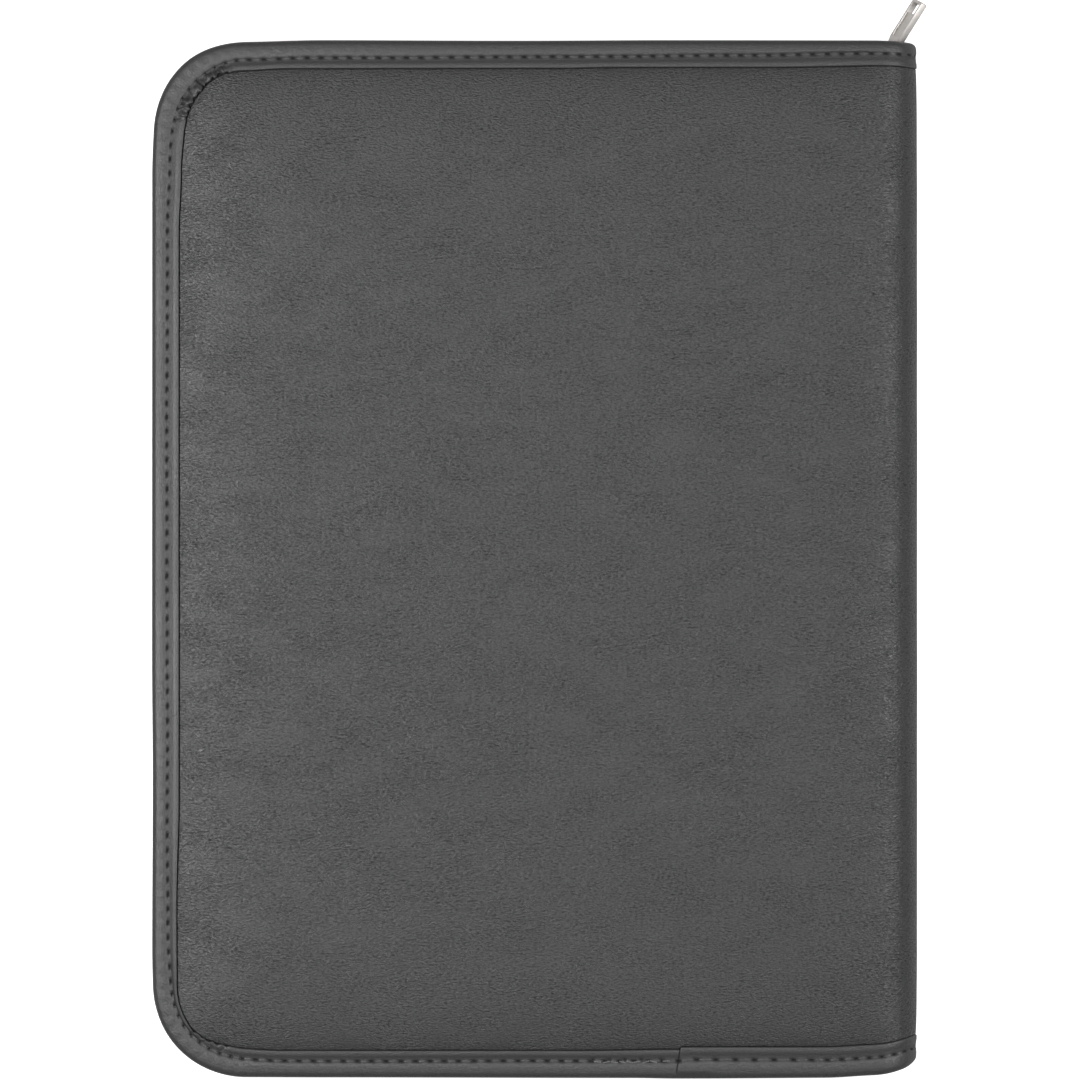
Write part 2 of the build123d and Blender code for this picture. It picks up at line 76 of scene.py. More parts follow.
def calc(tree, operation, *values):
    """The result of a math node, with sockets or numbers as its values."""
    return add_node(tree, "ShaderNodeMath", enumerate(values), operation=operation).outputs[0]


def scaled(tree, color, factor):
    """A colour made lighter or darker by a factor that changes over the surface."""
    return add_node(tree, "ShaderNodeVectorMath", {0: color, "Scale": factor}, operation="SCALE").outputs[0]


def stretched(tree, vector, scale):
    """Coordinates scaled by their own amount along each direction."""
    return add_node(tree, "ShaderNodeVectorMath", {0: vector, 1: scale}, operation="MULTIPLY").outputs[0]


def noise(tree, place, scale, detail, roughness=0.5):
    """Cloudy random values. The scale is one number, or three that stretch the clouds by direction."""
    if isinstance(scale, tuple):
        place = stretched(tree, place, scale)
        scale = 1.0
    return add_node(tree, "ShaderNodeTexNoise", {"Vector": place, "Scale": scale, "Detail": detail,
                                                 "Roughness": roughness}).outputs[0]


def new_group(name, inputs, outputs):
    """An empty shader group. An input's first value gives its kind, and None stands for coordinates."""
    group = bpy.data.node_groups.new(name, "ShaderNodeTree")
    kinds = {type(None): "NodeSocketVector", float: "NodeSocketFloat", tuple: "NodeSocketColor"}
    for socket, value in inputs.items():
        made = group.interface.new_socket(name=socket, in_out="INPUT", socket_type=kinds[type(value)])
        if value is not None:
            made.default_value = value
    for socket in outputs:
        kind = "NodeSocketColor" if socket == "Color" else "NodeSocketFloat"
        group.interface.new_socket(name=socket, in_out="OUTPUT", socket_type=kind)
    return group, add_node(group, "NodeGroupInput").outputs, add_node(group, "NodeGroupOutput").inputs


def pulp_fibre():
    """Short fibres and cloudy tone of board and paper."""
    group, given, made = new_group("pulp_fibre", {"Vector": None, "Color": BOARD_COLOR, "Contrast": 0.2},
                                   ["Color", "Height"])
    fibres = noise(group, given["Vector"], PULP_FIBRES, 4.0)
    clouds = noise(group, given["Vector"], PULP_CLOUDS, 3.0)
    both = calc(group, "SUBTRACT", calc(group, "ADD", fibres, clouds), 1.0)
    tone = calc(group, "MULTIPLY_ADD", both, given["Contrast"], 1.0)
    group.links.new(scaled(group, given["Color"], tone), made["Color"])
    group.links.new(fibres, made["Height"])
    return group


PULP_FIBRE = pulp_fibre()


def new_material(name, **values):
    """A material with its tree and shader. Values are set on the shader's own sockets."""
    material = bpy.data.materials.new(name)
    material.use_nodes = True
    shader = material.node_tree.nodes["Principled BSDF"]
    for socket, value in values.items():
        shader.inputs[socket.replace("_", " ")].default_value = value
    return material, material.node_tree, shader


def object_place(tree):
    """The piece's own coordinates, in metres."""
    return add_node(tree, "ShaderNodeTexCoord").outputs["Object"]


def finish_group(tree, group, inputs, shader, relief=0.0):
    """Places a finish group in a material, links what it gives to the shader, and returns its outputs."""
    made = add_node(tree, "ShaderNodeGroup", inputs, node_tree=group).outputs
    tree.links.new(made["Color"], shader.inputs["Base Color"])
    if "Roughness" in made:
        tree.links.new(made["Roughness"], shader.inputs["Roughness"])
    if "Height" in made:
        bump = add_node(tree, "ShaderNodeBump", {"Height": made["Height"], "Distance": relief})
        tree.links.new(bump.outputs[0], shader.inputs["Normal"])
    return made


def board_material(name, color):
    """Uncoated greyboard."""
    material, tree, shader = new_material(name, Roughness=0.85)
    fibre = {"Vector": object_place(tree), "Color": color, "Contrast": BOARD_CONTRAST}
    finish_group(tree, PULP_FIBRE, fibre, shader, BOARD_RELIEF)
    return material


def dress_solid(node, material):
    """Gives one of the frame's own solids a material."""
    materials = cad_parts[node].data.materials
    materials.clear()
    materials.append(material)


cover_board = board_material("cover_greyboard", BOARD_COLOR)
for node in ["front_cover_board", "back_cover_board"]:
    dress_solid(node, cover_board)


# Cover panels: grained leatherette over a thin sheet of foam, one for each cover and its half of the spine.
# Each is sewn in along three edges under the binding, so it dips there and swells towards the middle,
# and runs on without a seam round the soft roll of the spine. Side 1 is the back cover, -1 the front cover.
MM = 0.001
FORE_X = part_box("back_binding")[0].x / MM
EDGE_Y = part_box("back_binding")[1].y / MM
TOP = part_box("back_cover_skin")[1].z / MM
MIDDLE = TOP / 2
SPINE_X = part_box("spine_middle_skin")[1].x / MM - MIDDLE
ROLL_END = SPINE_X + MIDDLE * math.pi / 2
ROLL_SWELL = 1.04
ROLL_SQUARENESS = 0.97
END_DRAW = {1: 0.5, -1: 2.8}
LOWER_EARLY_DRAW = 0.8
EARLY_DRAW_START = SPINE_X - 18
DRAW_START = EDGE_Y - 45
DRAW_END = EDGE_Y - 10
CORNER = 30.0
STRAIGHT = ROLL_END - FORE_X - CORNER
ARC = CORNER * math.pi / 2
EDGE_LENGTH = 2 * (STRAIGHT + ARC + EDGE_Y - CORNER)
SEAM_FLOOR = 0.65
SEAM_LIP = 0.34
SEAM_ROLL_OFF = 0.4
SEAM_ROLL_LENGTH = 2.5
PANEL_ROLL_OFF = {1: 2.6, -1: 0.6}
PANEL_ROLL_LENGTH = 14.5
SPINE_ROLL_OFF = 0.7
SPINE_SOFTNESS = 0.4
PANEL_CROWN = {1: 1.8, -1: 0.0}
PANEL_RIPPLE = 0.06
RIPPLE_LENGTHS = (90, 26)
RIPPLE_SEED = {1: 11, -1: 12}
DEEPEST_DIP = 1.6
FIELD_INSET = 18.5
FIELD_BORDER = 18.0
SEAM_OFFSETS = [-3.4, -1.2, -0.3, 0.0, 0.08, 0.16, 0.24, 0.34, 0.5, 0.8, 1.3, 2.0, 3.0, 4.4, 6.2]
FOAM_DEPTH = 2.05
BOARD_DEPTH = 2.85
BOARD_EDGE_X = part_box("back_cover_board")[1].x / MM
TOUCH = 0.001
COVER_COLOR = (0.03, 0.03, 0.0308, 1.0)
COVER_RELIEF = 0.00012
# Share of the colour that painted shade takes away.
LIGHT_LOST = 0.95

# Patterns of the leatherette, as cells to the metre, some of them closer up the cover than along it.
PEBBLES = 1500.0
GRAIN_DRIFT = 350.0
WRINKLES = (750.0, 1900.0, 1.0)
GRAIN_PATCHES = (55.0, 95.0, 1.0)
TONE_CLOUDS = (14.0, 30.0, 1.0)

# The grain drifts by these metres. Its pebbles are wider than high, with their own steepness and share of the
# height, and raised and cloudy spots shine more.
GRAIN_WANDER = (0.0016, 0.0012, 0.0)
PEBBLE_STRETCH = (0.75, 1.25, 1.0)
PEBBLE_STEEPNESS = 1.4
PEBBLE_SHARE = 0.6
GRAIN_MEAN = 0.55
WORN_SHINE = 0.3
CLOUD_SHINE = 0.12

# Distance along a cover's edge from the spine's lower end, with the inset of the seam there.
# The back cover's seam was guided by hand, and jumps where the ends of the binding overlap.
OVERLAP_RUN = ROLL_END - 47.5
SEAM_LINE = {1: [(0, 10.2), (OVERLAP_RUN - 0.2, 10.2), (OVERLAP_RUN + 0.2, 9.35), (115, 9.0), (215, 9.0),
                 (233, 9.8), (256, 7.6), (300, 7.4), (335, 8.15), (520, 8.15), (541, 8.9), (560, 10.2),
                 (574, 10.3), (586, 9.7), (600, 9.9), (615, 9.2), (705, 9.1), (722, 8.8), (772, 8.8),
                 (EDGE_LENGTH - 15, 8.2), (EDGE_LENGTH, 8.4)],
             -1: [(0, 10.2), (70, 8.9), (EDGE_LENGTH - 70, 8.9), (EDGE_LENGTH, 8.4)]}


def ease(value, start, end):
    """Smooth step from 0 at start to 1 at end."""
    x = np.clip((value - start) / (end - start), 0, 1)
    return x * x * (3 - 2 * x)


def end_draw(s, end):
    """How far the soft ends of the spine are drawn in. At the lower end it starts sooner."""
    draw = END_DRAW[end] * ease(s, SPINE_X - 3, ROLL_END - 2)
    return draw if end > 0 else LOWER_EARLY_DRAW * ease(s, EARLY_DRAW_START, SPINE_X) + draw


def on_cover(s, y, depth, side):
    """Points of a cover, where s runs from the fore edge to the middle of the spine's roll."""
    turn = np.clip((s - SPINE_X) / MIDDLE, 0, None)
    draw = np.where(y > 0, end_draw(s, 1), end_draw(s, -1))
    y = y - np.sign(y) * draw * ease(np.abs(y), DRAW_START, DRAW_END)
    reach = MIDDLE - depth
    out = ROLL_SWELL * reach * np.sin(turn) ** ROLL_SQUARENESS
    up = reach * np.clip(np.cos(turn), 0, 1) ** ROLL_SQUARENESS
    return np.stack(np.broadcast_arrays(np.minimum(s, SPINE_X) + out, y, MIDDLE + side * up), axis=-1)


def edge_place(t, inset):
    """Sheet place s, y at a distance t along a cover's edge from the spine's lower end, that far inside."""
    nearer = np.minimum(t, EDGE_LENGTH - t)
    end = np.where(t > EDGE_LENGTH / 2, 1, -1)
    turn = np.clip((nearer - STRAIGHT) / CORNER, 0, math.pi / 2)
    reach = CORNER - inset
    s = FORE_X + CORNER - reach * np.sin(turn) + np.maximum(STRAIGHT - nearer, 0)
    y = EDGE_Y - CORNER + reach * np.cos(turn) - np.maximum(nearer - STRAIGHT - ARC, 0)
    return s, y * end


def edge_run(s, y):
    """Distance along a cover's edge of the point of it that is nearest."""
    from_fore = s - FORE_X
    from_end = EDGE_Y - np.abs(y)
    turn = np.arctan2(CORNER - from_fore, CORNER - from_end)
    straight = np.where(from_end < from_fore, ROLL_END - s, STRAIGHT + ARC + EDGE_Y - CORNER - np.abs(y))
    run = np.where((from_fore < CORNER) & (from_end < CORNER), STRAIGHT + CORNER * turn, straight)
    return np.where(y > 0, EDGE_LENGTH - run, run)


def drawn_line(t, stops):
    """Smooth line through stops that pair a distance along the edge with a value."""
    places, values = np.array(stops).T
    k = np.clip(np.searchsorted(places, t) - 1, 0, len(places) - 2)
    return values[k] + (values[k + 1] - values[k]) * ease(t, places[k], places[k + 1])


def edge_inset(s, y):
    """How far a point lies inside a cover's outline, which is open at the spine."""
    from_fore = s - FORE_X
    from_end = EDGE_Y - np.abs(y)
    rounded = CORNER - np.hypot(CORNER - from_fore, CORNER - from_end)
    return np.where((from_fore < CORNER) & (from_end < CORNER), rounded, np.minimum(from_fore, from_end))


def grid_line(*stops):
    """Values through the stops, which pair a value with the step that is used after it."""
    parts = []
    for (start, step), (end, _) in zip(stops, stops[1:]):
        parts.append(np.linspace(start, end, math.ceil((end - start) / step), endpoint=False))
    return np.append(np.concatenate(parts), stops[-1][0])


def grid_cells(rows, columns, closed=False):
    """Corner numbers of the cells of a grid of points. A closed one joins its last column to its first."""
    number = np.arange(rows * columns).reshape(rows, columns)
    after = np.roll(number, -1, axis=1) if closed else number[:, 1:]
    before = number if closed else number[:, :-1]
    return np.stack([before[:-1], after[:-1], after[1:], before[1:]], axis=-1).reshape(-1, 4)


def rim_edges(faces):
    """Edges that only one face has, each in that face's direction."""
    edges = {(a, b) for face in faces for a, b in zip(face, face[1:] + face[:1])}
    return sorted((a, b) for a, b in edges if (b, a) not in edges)


def zip_rows(first, first_t, second, second_t):
    """Triangles between two rows of points that both run along the edge."""
    faces = []
    i = 0
    j = 0
    while i < len(first) - 1 or j < len(second) - 1:
        if j == len(second) - 1 or (i < len(first) - 1 and first_t[i + 1] <= second_t[j + 1]):
            faces.append([first[i], first[i + 1], second[j]])
            i += 1
        else:
            faces.append([first[i], second[j + 1], second[j]])
            j += 1
    return faces


def place_object(name, data):
    """An object of the scene with that mesh, lamp or camera."""
    made = bpy.data.objects.new(name, data)
    bpy.context.collection.objects.link(made)
    return made


def make_piece(name, points, faces, material, uv=None, crease=55, **marks):
    """A mesh object from points in millimetres, its faces turned outwards and unused points left out.
    The uv map "cut", in metres on the flat material, and the marks are given by point."""
    used = np.unique(np.concatenate([np.asarray(face) for face in faces]))
    place = np.full(len(points), -1)
    place[used] = np.arange(len(used))
    mesh = bpy.data.meshes.new(name)
    mesh.from_pydata((points[used] * MM).tolist(), [], [place[face].tolist() for face in faces])
    solid = bmesh.new()
    solid.from_mesh(mesh)
    if solid.calc_volume(signed=True) < 0:
        bmesh.ops.reverse_faces(solid, faces=solid.faces)
    solid.to_mesh(mesh)
    solid.free()
    mesh.shade_smooth()
    mesh.set_sharp_from_angle(angle=math.radians(crease))
    if uv is not None:
        corner = np.empty(len(mesh.loops), dtype=np.int32)
        mesh.loops.foreach_get("vertex_index", corner)
        layer = mesh.uv_layers.new(name="cut")
        layer.uv.foreach_set("vector", (uv[used] * MM)[corner].astype(np.float32).ravel())
    for mark, values in marks.items():
        layer = mesh.attributes.new(mark, "FLOAT", "POINT")
        layer.data.foreach_set("value", values[used].astype(np.float32))
    mesh.materials.append(material)
    return place_object(name, mesh)


def two_layers(name, flat, outer, inner, faces, material, **finish):
    """A closed piece made of two layers of one flat sheet, joined round the sheet's rim."""
    count = len(outer)
    walls = [[b, a, a + count, b + count] for a, b in rim_edges(faces)]
    under = [[corner + count for corner in face[::-1]] for face in faces]
    return make_piece(name, np.concatenate([outer, inner]), faces + under + walls, material,
                      uv=np.concatenate([flat, flat]), **finish)


def cover_sheet(tuck, s_lines, y_lines):
    """Flat grid inside a cover's outline, with the points past it drawn back onto it: s, y and the cells."""
    s, y = np.meshgrid(s_lines, y_lines, indexing="ij")
    inside = edge_inset(s, y) > tuck - TOUCH
    centre_s = FORE_X + CORNER
    centre_y = np.sign(y) * (EDGE_Y - CORNER)
    pull = (CORNER - tuck) / np.maximum(np.hypot(s - centre_s, y - centre_y), TOUCH)
    s_in = np.where(inside, s, centre_s + (s - centre_s) * pull)
    y_in = np.where(inside, y, centre_y + (y - centre_y) * pull)
    cells = grid_cells(*s.shape)
    cells = cells[inside.ravel()[cells].any(axis=1)]
    return s_in.ravel(), y_in.ravel(), cells.tolist()


def ripple(s, y, seed, longest, shortest, count=26):
    """Soft random waves, about 1 high, longer along the cover than up it."""
    draw = np.random.default_rng(seed)
    total = np.zeros_like(s)
    for _ in range(count):
        length = draw.uniform(shortest, longest)
        angle = draw.normal(math.pi / 2, 0.5)
        phase = draw.uniform(0, 2 * math.pi)
        total += np.sin((s * math.cos(angle) + y * math.sin(angle)) * 2 * math.pi / length + phase)
    return total / math.sqrt(count / 2)


def cut_place(tree):
    """Where a point lies on the flat material that the piece was cut from, in metres."""
    return add_node(tree, "ShaderNodeUVMap", uv_map="cut").outputs[0]


def leather_grain():
    """Pebbled grain of leatherette in patches, with fine wrinkles along the cover and cloudy tone."""
    group, given, made = new_group(
        "leather_grain",
        {"Vector": None, "Color": COVER_COLOR, "Pebble": PEBBLES, "Wrinkle": 0.5, "Mottle": 0.12,
         "Depth": 0.9, "Gloss": 0.45}, ["Color", "Roughness", "Height"])
    place = given["Vector"]
    drift = add_node(group, "ShaderNodeTexNoise", {"Vector": place, "Scale": GRAIN_DRIFT, "Detail": 2.0})
    offset = stretched(group, drift.outputs["Color"], GRAIN_WANDER)
    bent = add_node(group, "ShaderNodeVectorMath", {0: place, 1: offset}, operation="ADD").outputs[0]
    pebbles = add_node(group, "ShaderNodeTexVoronoi",
                       {"Vector": stretched(group, bent, PEBBLE_STRETCH), "Scale": given["Pebble"],
                        "Smoothness": 0.25}, voronoi_dimensions="2D", feature="SMOOTH_F1")
    dome = calc(group, "MULTIPLY_ADD", pebbles.outputs["Distance"], -PEBBLE_STEEPNESS, 1.0)
    folds = noise(group, bent, WRINKLES, 3.0, 0.55)
    fold = add_node(group, "ShaderNodeMapRange", {"Value": folds, "From Min": 0.34, "From Max": 0.62})
    patches = noise(group, place, GRAIN_PATCHES, 3.0)
    patch = add_node(group, "ShaderNodeMapRange", {"Value": patches, "From Min": 0.3, "From Max": 0.7,
                                                   "To Min": 0.7, "To Max": 1.3})
    cloud = calc(group, "SUBTRACT", noise(group, place, TONE_CLOUDS, 4.0, 0.6), 0.5)
    wrinkled = calc(group, "MULTIPLY", fold.outputs[0], given["Wrinkle"])
    raised = calc(group, "MULTIPLY_ADD", dome, PEBBLE_SHARE, wrinkled)
    height = calc(group, "MULTIPLY", calc(group, "SUBTRACT", raised, GRAIN_MEAN), patch.outputs[0])
    lift = calc(group, "MULTIPLY", height, given["Depth"])
    tone = calc(group, "MULTIPLY_ADD", cloud, given["Mottle"], lift)
    group.links.new(scaled(group, given["Color"], calc(group, "ADD", tone, 1.0)), made["Color"])
    shine = calc(group, "MULTIPLY_ADD", lift, -WORN_SHINE, given["Gloss"])
    group.links.new(calc(group, "MULTIPLY_ADD", cloud, -CLOUD_SHINE, shine), made["Roughness"])
    group.links.new(height, made["Height"])
    return group


LEATHER_GRAIN = leather_grain()


def leatherette(name, color, relief, **finish):
    """Dull leatherette with painted shade: its colour is blackened where the piece's painted shade mark says
    that no light gets in.
    """
    material, tree, shader = new_material(name, Specular_IOR_Level=0.5)
    grain = {"Vector": cut_place(tree), "Color": color, "Pebble": PEBBLES, **finish}
    outputs = finish_group(tree, LEATHER_GRAIN, grain, shader, relief)
    # Painted shade: the base colour is darkened by the piece's mark, and the surface is made duller there.
    mark = add_node(tree, "ShaderNodeAttribute", attribute_name="dark").outputs["Fac"]
    shade = calc(tree, "MULTIPLY_ADD", mark, -LIGHT_LOST, 1.0)
    tree.links.new(scaled(tree, outputs["Color"], shade), shader.inputs["Base Color"])
    dull = calc(tree, "MULTIPLY_ADD", mark, 0.5, outputs["Roughness"])
    tree.links.new(dull, shader.inputs["Roughness"])
    return material


COVER_LEATHERETTE = leatherette("cover_leatherette", COVER_COLOR, COVER_RELIEF, Wrinkle=0.6, Mottle=0.2,
                                Depth=1.1, Gloss=0.45)


def panel_depths(s, y, past_seam, side):
    """Depths of a panel's two faces: it dips to the seam, rolls off towards it and swells inside."""
    inside = np.maximum(past_seam, 0)
    flat = 1 - ease(s, SPINE_X - 10, SPINE_X + 15)
    soft = SPINE_SOFTNESS + (1 - SPINE_SOFTNESS) * flat
    depth = soft * SEAM_FLOOR * (1 - ease(past_seam, 0.02, SEAM_LIP)) - flat * PANEL_CROWN[side]
    roll_off = SPINE_ROLL_OFF + flat * (PANEL_ROLL_OFF[side] - SPINE_ROLL_OFF)
    depth = depth + soft * (SEAM_ROLL_OFF * np.exp(-inside / SEAM_ROLL_LENGTH)
                            + roll_off * np.exp(-inside / PANEL_ROLL_LENGTH))
    uneven = PANEL_RIPPLE * (SPINE_SOFTNESS + (1 - SPINE_SOFTNESS) * side * flat)
    depth = depth + ease(past_seam, 3, 25) * uneven * ripple(s, y, RIPPLE_SEED[side], *RIPPLE_LENGTHS)
    depth = np.clip(depth, 0 if side < 0 else None, DEEPEST_DIP)
    on_board = ease(past_seam, 1, 6) * (1 - ease(s, BOARD_EDGE_X - 4, BOARD_EDGE_X))
    return depth, FOAM_DEPTH + (BOARD_DEPTH - FOAM_DEPTH) * on_board


def cover_panel(name, side):
    """Padded panel from under the binding to the middle of the spine: a strip by the seam, and a field."""
    run = grid_line((0, 0.25), (1, 0.9), (EDGE_LENGTH - 1, 0.25), (EDGE_LENGTH, 0))
    strip_t, offset = (grid.ravel() for grid in np.meshgrid(run, SEAM_OFFSETS, indexing="ij"))
    strip_s, strip_y = edge_place(strip_t, drawn_line(strip_t, SEAM_LINE[side]) + offset)
    strip = grid_cells(len(run), len(SEAM_OFFSETS))[:, ::-1].tolist()
    far = EDGE_Y - FIELD_INSET
    s_lines = grid_line((FORE_X + FIELD_INSET, 1.6), (FORE_X + 34, 2.6), (SPINE_X - 16, 1.0),
                        (ROLL_END - 1, 0.25), (ROLL_END, 0))
    y_lines = grid_line((-far, 1.6), (FIELD_BORDER - far, 2.6), (far - FIELD_BORDER, 1.6), (far, 0))
    field_s, field_y, field = cover_sheet(FIELD_INSET, s_lines, y_lines)
    field_t = edge_run(field_s, field_y)
    sewn_rim = [edge for edge in rim_edges(field) if field_s[list(edge)].min() < ROLL_END - TOUCH]
    border = sorted({corner for edge in sewn_rim for corner in edge}, key=lambda k: field_t[k])
    inner_row = np.arange(len(run)) * len(SEAM_OFFSETS) + len(SEAM_OFFSETS) - 1
    start = len(strip_s)
    joint = zip_rows(inner_row.tolist(), run, [k + start for k in border], field_t[border])
    faces = strip + [[corner + start for corner in cell] for cell in field] + joint
    s = np.concatenate([strip_s, field_s])
    y = np.concatenate([strip_y, field_y])
    field_past = edge_inset(field_s, field_y) - drawn_line(field_t, SEAM_LINE[side])
    past_seam = np.concatenate([offset, field_past])
    depth, under = panel_depths(s, y, past_seam, side)
    # Painted shade: the panel's colour is blackened where it runs into the seam under the binding's hem.
    dark = np.concatenate([1 - ease(past_seam, 0.02, 0.3), np.zeros_like(s)])
    return two_layers(name, np.stack([s, y], axis=-1), on_cover(s, y, depth, side),
                      on_cover(s, y, under, side), faces, COVER_LEATHERETTE, crease=80, dark=dark)


def bends_with_cover(piece, side):
    """Bakes the piece's place into its mesh, the same for either cover."""
    if side > 0:
        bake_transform(piece)
    else:
        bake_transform(piece)


back_panel = cover_panel("back_cover_panel", 1)
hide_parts("back_cover_skin", "back_cover_foam", "spine_upper_skin", "spine_upper_foam",
            "spine_middle_skin", "spine_middle_foam")
front_panel = cover_panel("front_cover_panel", -1)
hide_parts("front_cover_skin", "front_cover_foam", "spine_lower_skin", "spine_lower_foam")
for panel, side in [(back_panel, 1), (front_panel, -1)]:
    bends_with_cover(panel, side)


# Lining: a dark woven cloth glued to the inside of each cover and of the spine.
# Its edges slope down beside the board and end under the binding, against the zip tape.
LINING_TUCK = 5.0
LINING_CLOTH = 0.6
LINING_FOOT = 9.0
LINING_FIELD = 11.2
LINING_FOOT_DEPTH = 2.7
INSIDE_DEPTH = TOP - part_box("back_cover_lining")[0].z / MM
LINING_SPINE_FOOT = SPINE_X - 1.0
LINING_SPINE_FIELD = LINING_SPINE_FOOT - 2.2
LINING_COLOR = (0.022, 0.022, 0.024, 1.0)
LINING_THREADS = 1300.0
LINING_RELIEF = 0.00012
SLUB_STRETCH = (90.0, 700.0, 1.0)


def cloth_weave():
    """Plain weave: threads that pass over and under each other, a little uneven."""
    group, given, made = new_group(
        "cloth_weave", {"Vector": None, "Color": LINING_COLOR, "Threads": 1500.0, "Slub": 0.25, "Twill": 0.0},
        ["Color", "Height"])
    uneven = calc(group, "SUBTRACT", noise(group, given["Vector"], SLUB_STRETCH, 3.0), 0.5)
    parts = add_node(group, "ShaderNodeSeparateXYZ", {0: given["Vector"]}).outputs
    turns = calc(group, "MULTIPLY", given["Threads"], math.pi)
    warp = calc(group, "MULTIPLY", parts[0], turns)
    weft = calc(group, "MULTIPLY", parts[1], turns)
    lean = calc(group, "MULTIPLY_ADD", weft, given["Twill"], warp)
    over = calc(group, "MULTIPLY", calc(group, "SINE", lean), calc(group, "SINE", weft))
    thread = calc(group, "MULTIPLY_ADD", over, 0.5, 0.5)
    slub = calc(group, "MULTIPLY", uneven, given["Slub"])
    tone = calc(group, "ADD", calc(group, "MULTIPLY_ADD", thread, 0.5, 0.75), slub)
    group.links.new(scaled(group, given["Color"], tone), made["Color"])
    group.links.new(calc(group, "ADD", thread, slub), made["Height"])
    return group


CLOTH_WEAVE = cloth_weave()


def cloth_material(name, color, threads, slub, relief, twill=0.0, place=cut_place):
    """A woven cloth with that many threads to the metre."""
    material, tree, shader = new_material(name, Roughness=0.8, Specular_IOR_Level=0.25, Sheen_Weight=0.25,
                                          Sheen_Roughness=0.5)
    weave = {"Vector": place(tree), "Color": color, "Threads": threads, "Slub": slub, "Twill": twill}
    finish_group(tree, CLOTH_WEAVE, weave, shader, relief)
    return material


LINING_MATERIAL = cloth_material("lining_cloth", LINING_COLOR, LINING_THREADS, 0.5, LINING_RELIEF)


def cover_lining(name, side):
    """Lining of a cover and of its half of the spine."""
    s_lines = grid_line((FORE_X + LINING_TUCK, 0.7), (FORE_X + 13, 3.0), (LINING_SPINE_FIELD - 1, 0.6),
                        (ROLL_END - 1, 0.25), (ROLL_END, 0))
    fine = EDGE_Y - 13
    y_lines = grid_line((LINING_TUCK - EDGE_Y, 0.7), (-fine, 3.0), (fine, 0.7), (EDGE_Y - LINING_TUCK, 0))
    s, y, cells = cover_sheet(LINING_TUCK, s_lines, y_lines)
    rise = ease(edge_inset(s, y), LINING_FOOT, LINING_FIELD)
    rise = rise * (1 - ease(s, LINING_SPINE_FIELD, LINING_SPINE_FOOT))
    face = LINING_FOOT_DEPTH + (INSIDE_DEPTH - LINING_FOOT_DEPTH) * rise
    return two_layers(name, np.stack([s, y], axis=-1), on_cover(s, y, face, side),
                      on_cover(s, y, face - LINING_CLOTH, side), cells, LINING_MATERIAL)


back_lining = cover_lining("back_lining", 1)
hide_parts("back_cover_lining", "spine_upper_lining", "spine_middle_lining")
front_lining = cover_lining("front_lining", -1)
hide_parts("front_cover_lining", "spine_lower_lining")
for lining, side, board in [(back_lining, 1, "back_cover_board"), (front_lining, -1, "front_cover_board")]:
    bends_with_cover(lining, side)


# Zip tapes: woven tapes, one for each cover, sewn in under the binding and standing up to meet each other.
# A thicker edge carries the teeth, and a loose tail of each tape ends inside the roll of the spine.
TAPE_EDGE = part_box("front_zip_tape")[1].z / MM
TAPE_INSET = 8.0
TAPE_HALF = 0.4
TAPE_BEAD = 0.62
TAPE_WALL_END = TAPE_EDGE - 2.4
TAPE_LEG_START = 2.2
TAPE_LEG_DEPTH = 2.7
TAPE_LEG_TOP = 3.5
TAIL_RADIUS = 8.2
TAIL_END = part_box("front_zip_tape")[1].x / MM - 0.05
TAIL_STEPS = 14
TAPE_COLOR = (0.028, 0.028, 0.03, 1.0)
TAPE_THREADS = 1100.0
TAPE_RELIEF = 0.00018
COVER_START = ROLL_END - SPINE_X


def swept_faces(rows, columns):
    """Faces of a closed section swept along rows of points, with both ends closed."""
    last = (rows - 1) * columns
    return grid_cells(rows, columns, closed=True).tolist() + [
        list(range(columns - 1, -1, -1)), list(range(last, last + columns))]


def swept_map(t, section):
    """Flat map of a swept piece: its run, and the way round its section."""
    across = np.concatenate([[0], np.cumsum(np.hypot(*np.diff(section, axis=0).T))])
    return np.stack(np.broadcast_arrays(t[:, None], across[None, :]), axis=-1).reshape(-1, 2)


def height_at(depth, side):
    """Height of a point that lies that deep below the outer face of a cover."""
    return MIDDLE + side * (MIDDLE - depth)


def tape_section():
    """Leg, bend, wall and thick edge of the tape, as inset and depth, all the way round."""
    inner = TAPE_INSET + TAPE_HALF
    outer = TAPE_INSET - TAPE_HALF
    bead = np.linspace(-40, 220, 9) * math.pi / 180
    bead_inset = TAPE_INSET + TAPE_BEAD * np.cos(bead)
    bead_depth = TAPE_EDGE - TAPE_BEAD + TAPE_BEAD * np.sin(bead)
    leg = [(TAPE_LEG_START, TAPE_LEG_DEPTH), (inner - 0.6, TAPE_LEG_DEPTH),
           (inner - 0.12, TAPE_LEG_DEPTH + 0.2), (inner, TAPE_LEG_DEPTH + 0.7), (inner, TAPE_WALL_END)]
    back = [(outer, TAPE_WALL_END), (outer, TAPE_LEG_TOP + 0.4), (outer - 0.3, TAPE_LEG_TOP),
            (TAPE_LEG_START, TAPE_LEG_TOP)]
    return np.array(leg + list(zip(bead_inset, bead_depth)) + back)


TAPE_MATERIAL = cloth_material("zip_tape", TAPE_COLOR, TAPE_THREADS, 0.4, TAPE_RELIEF, twill=1.0)


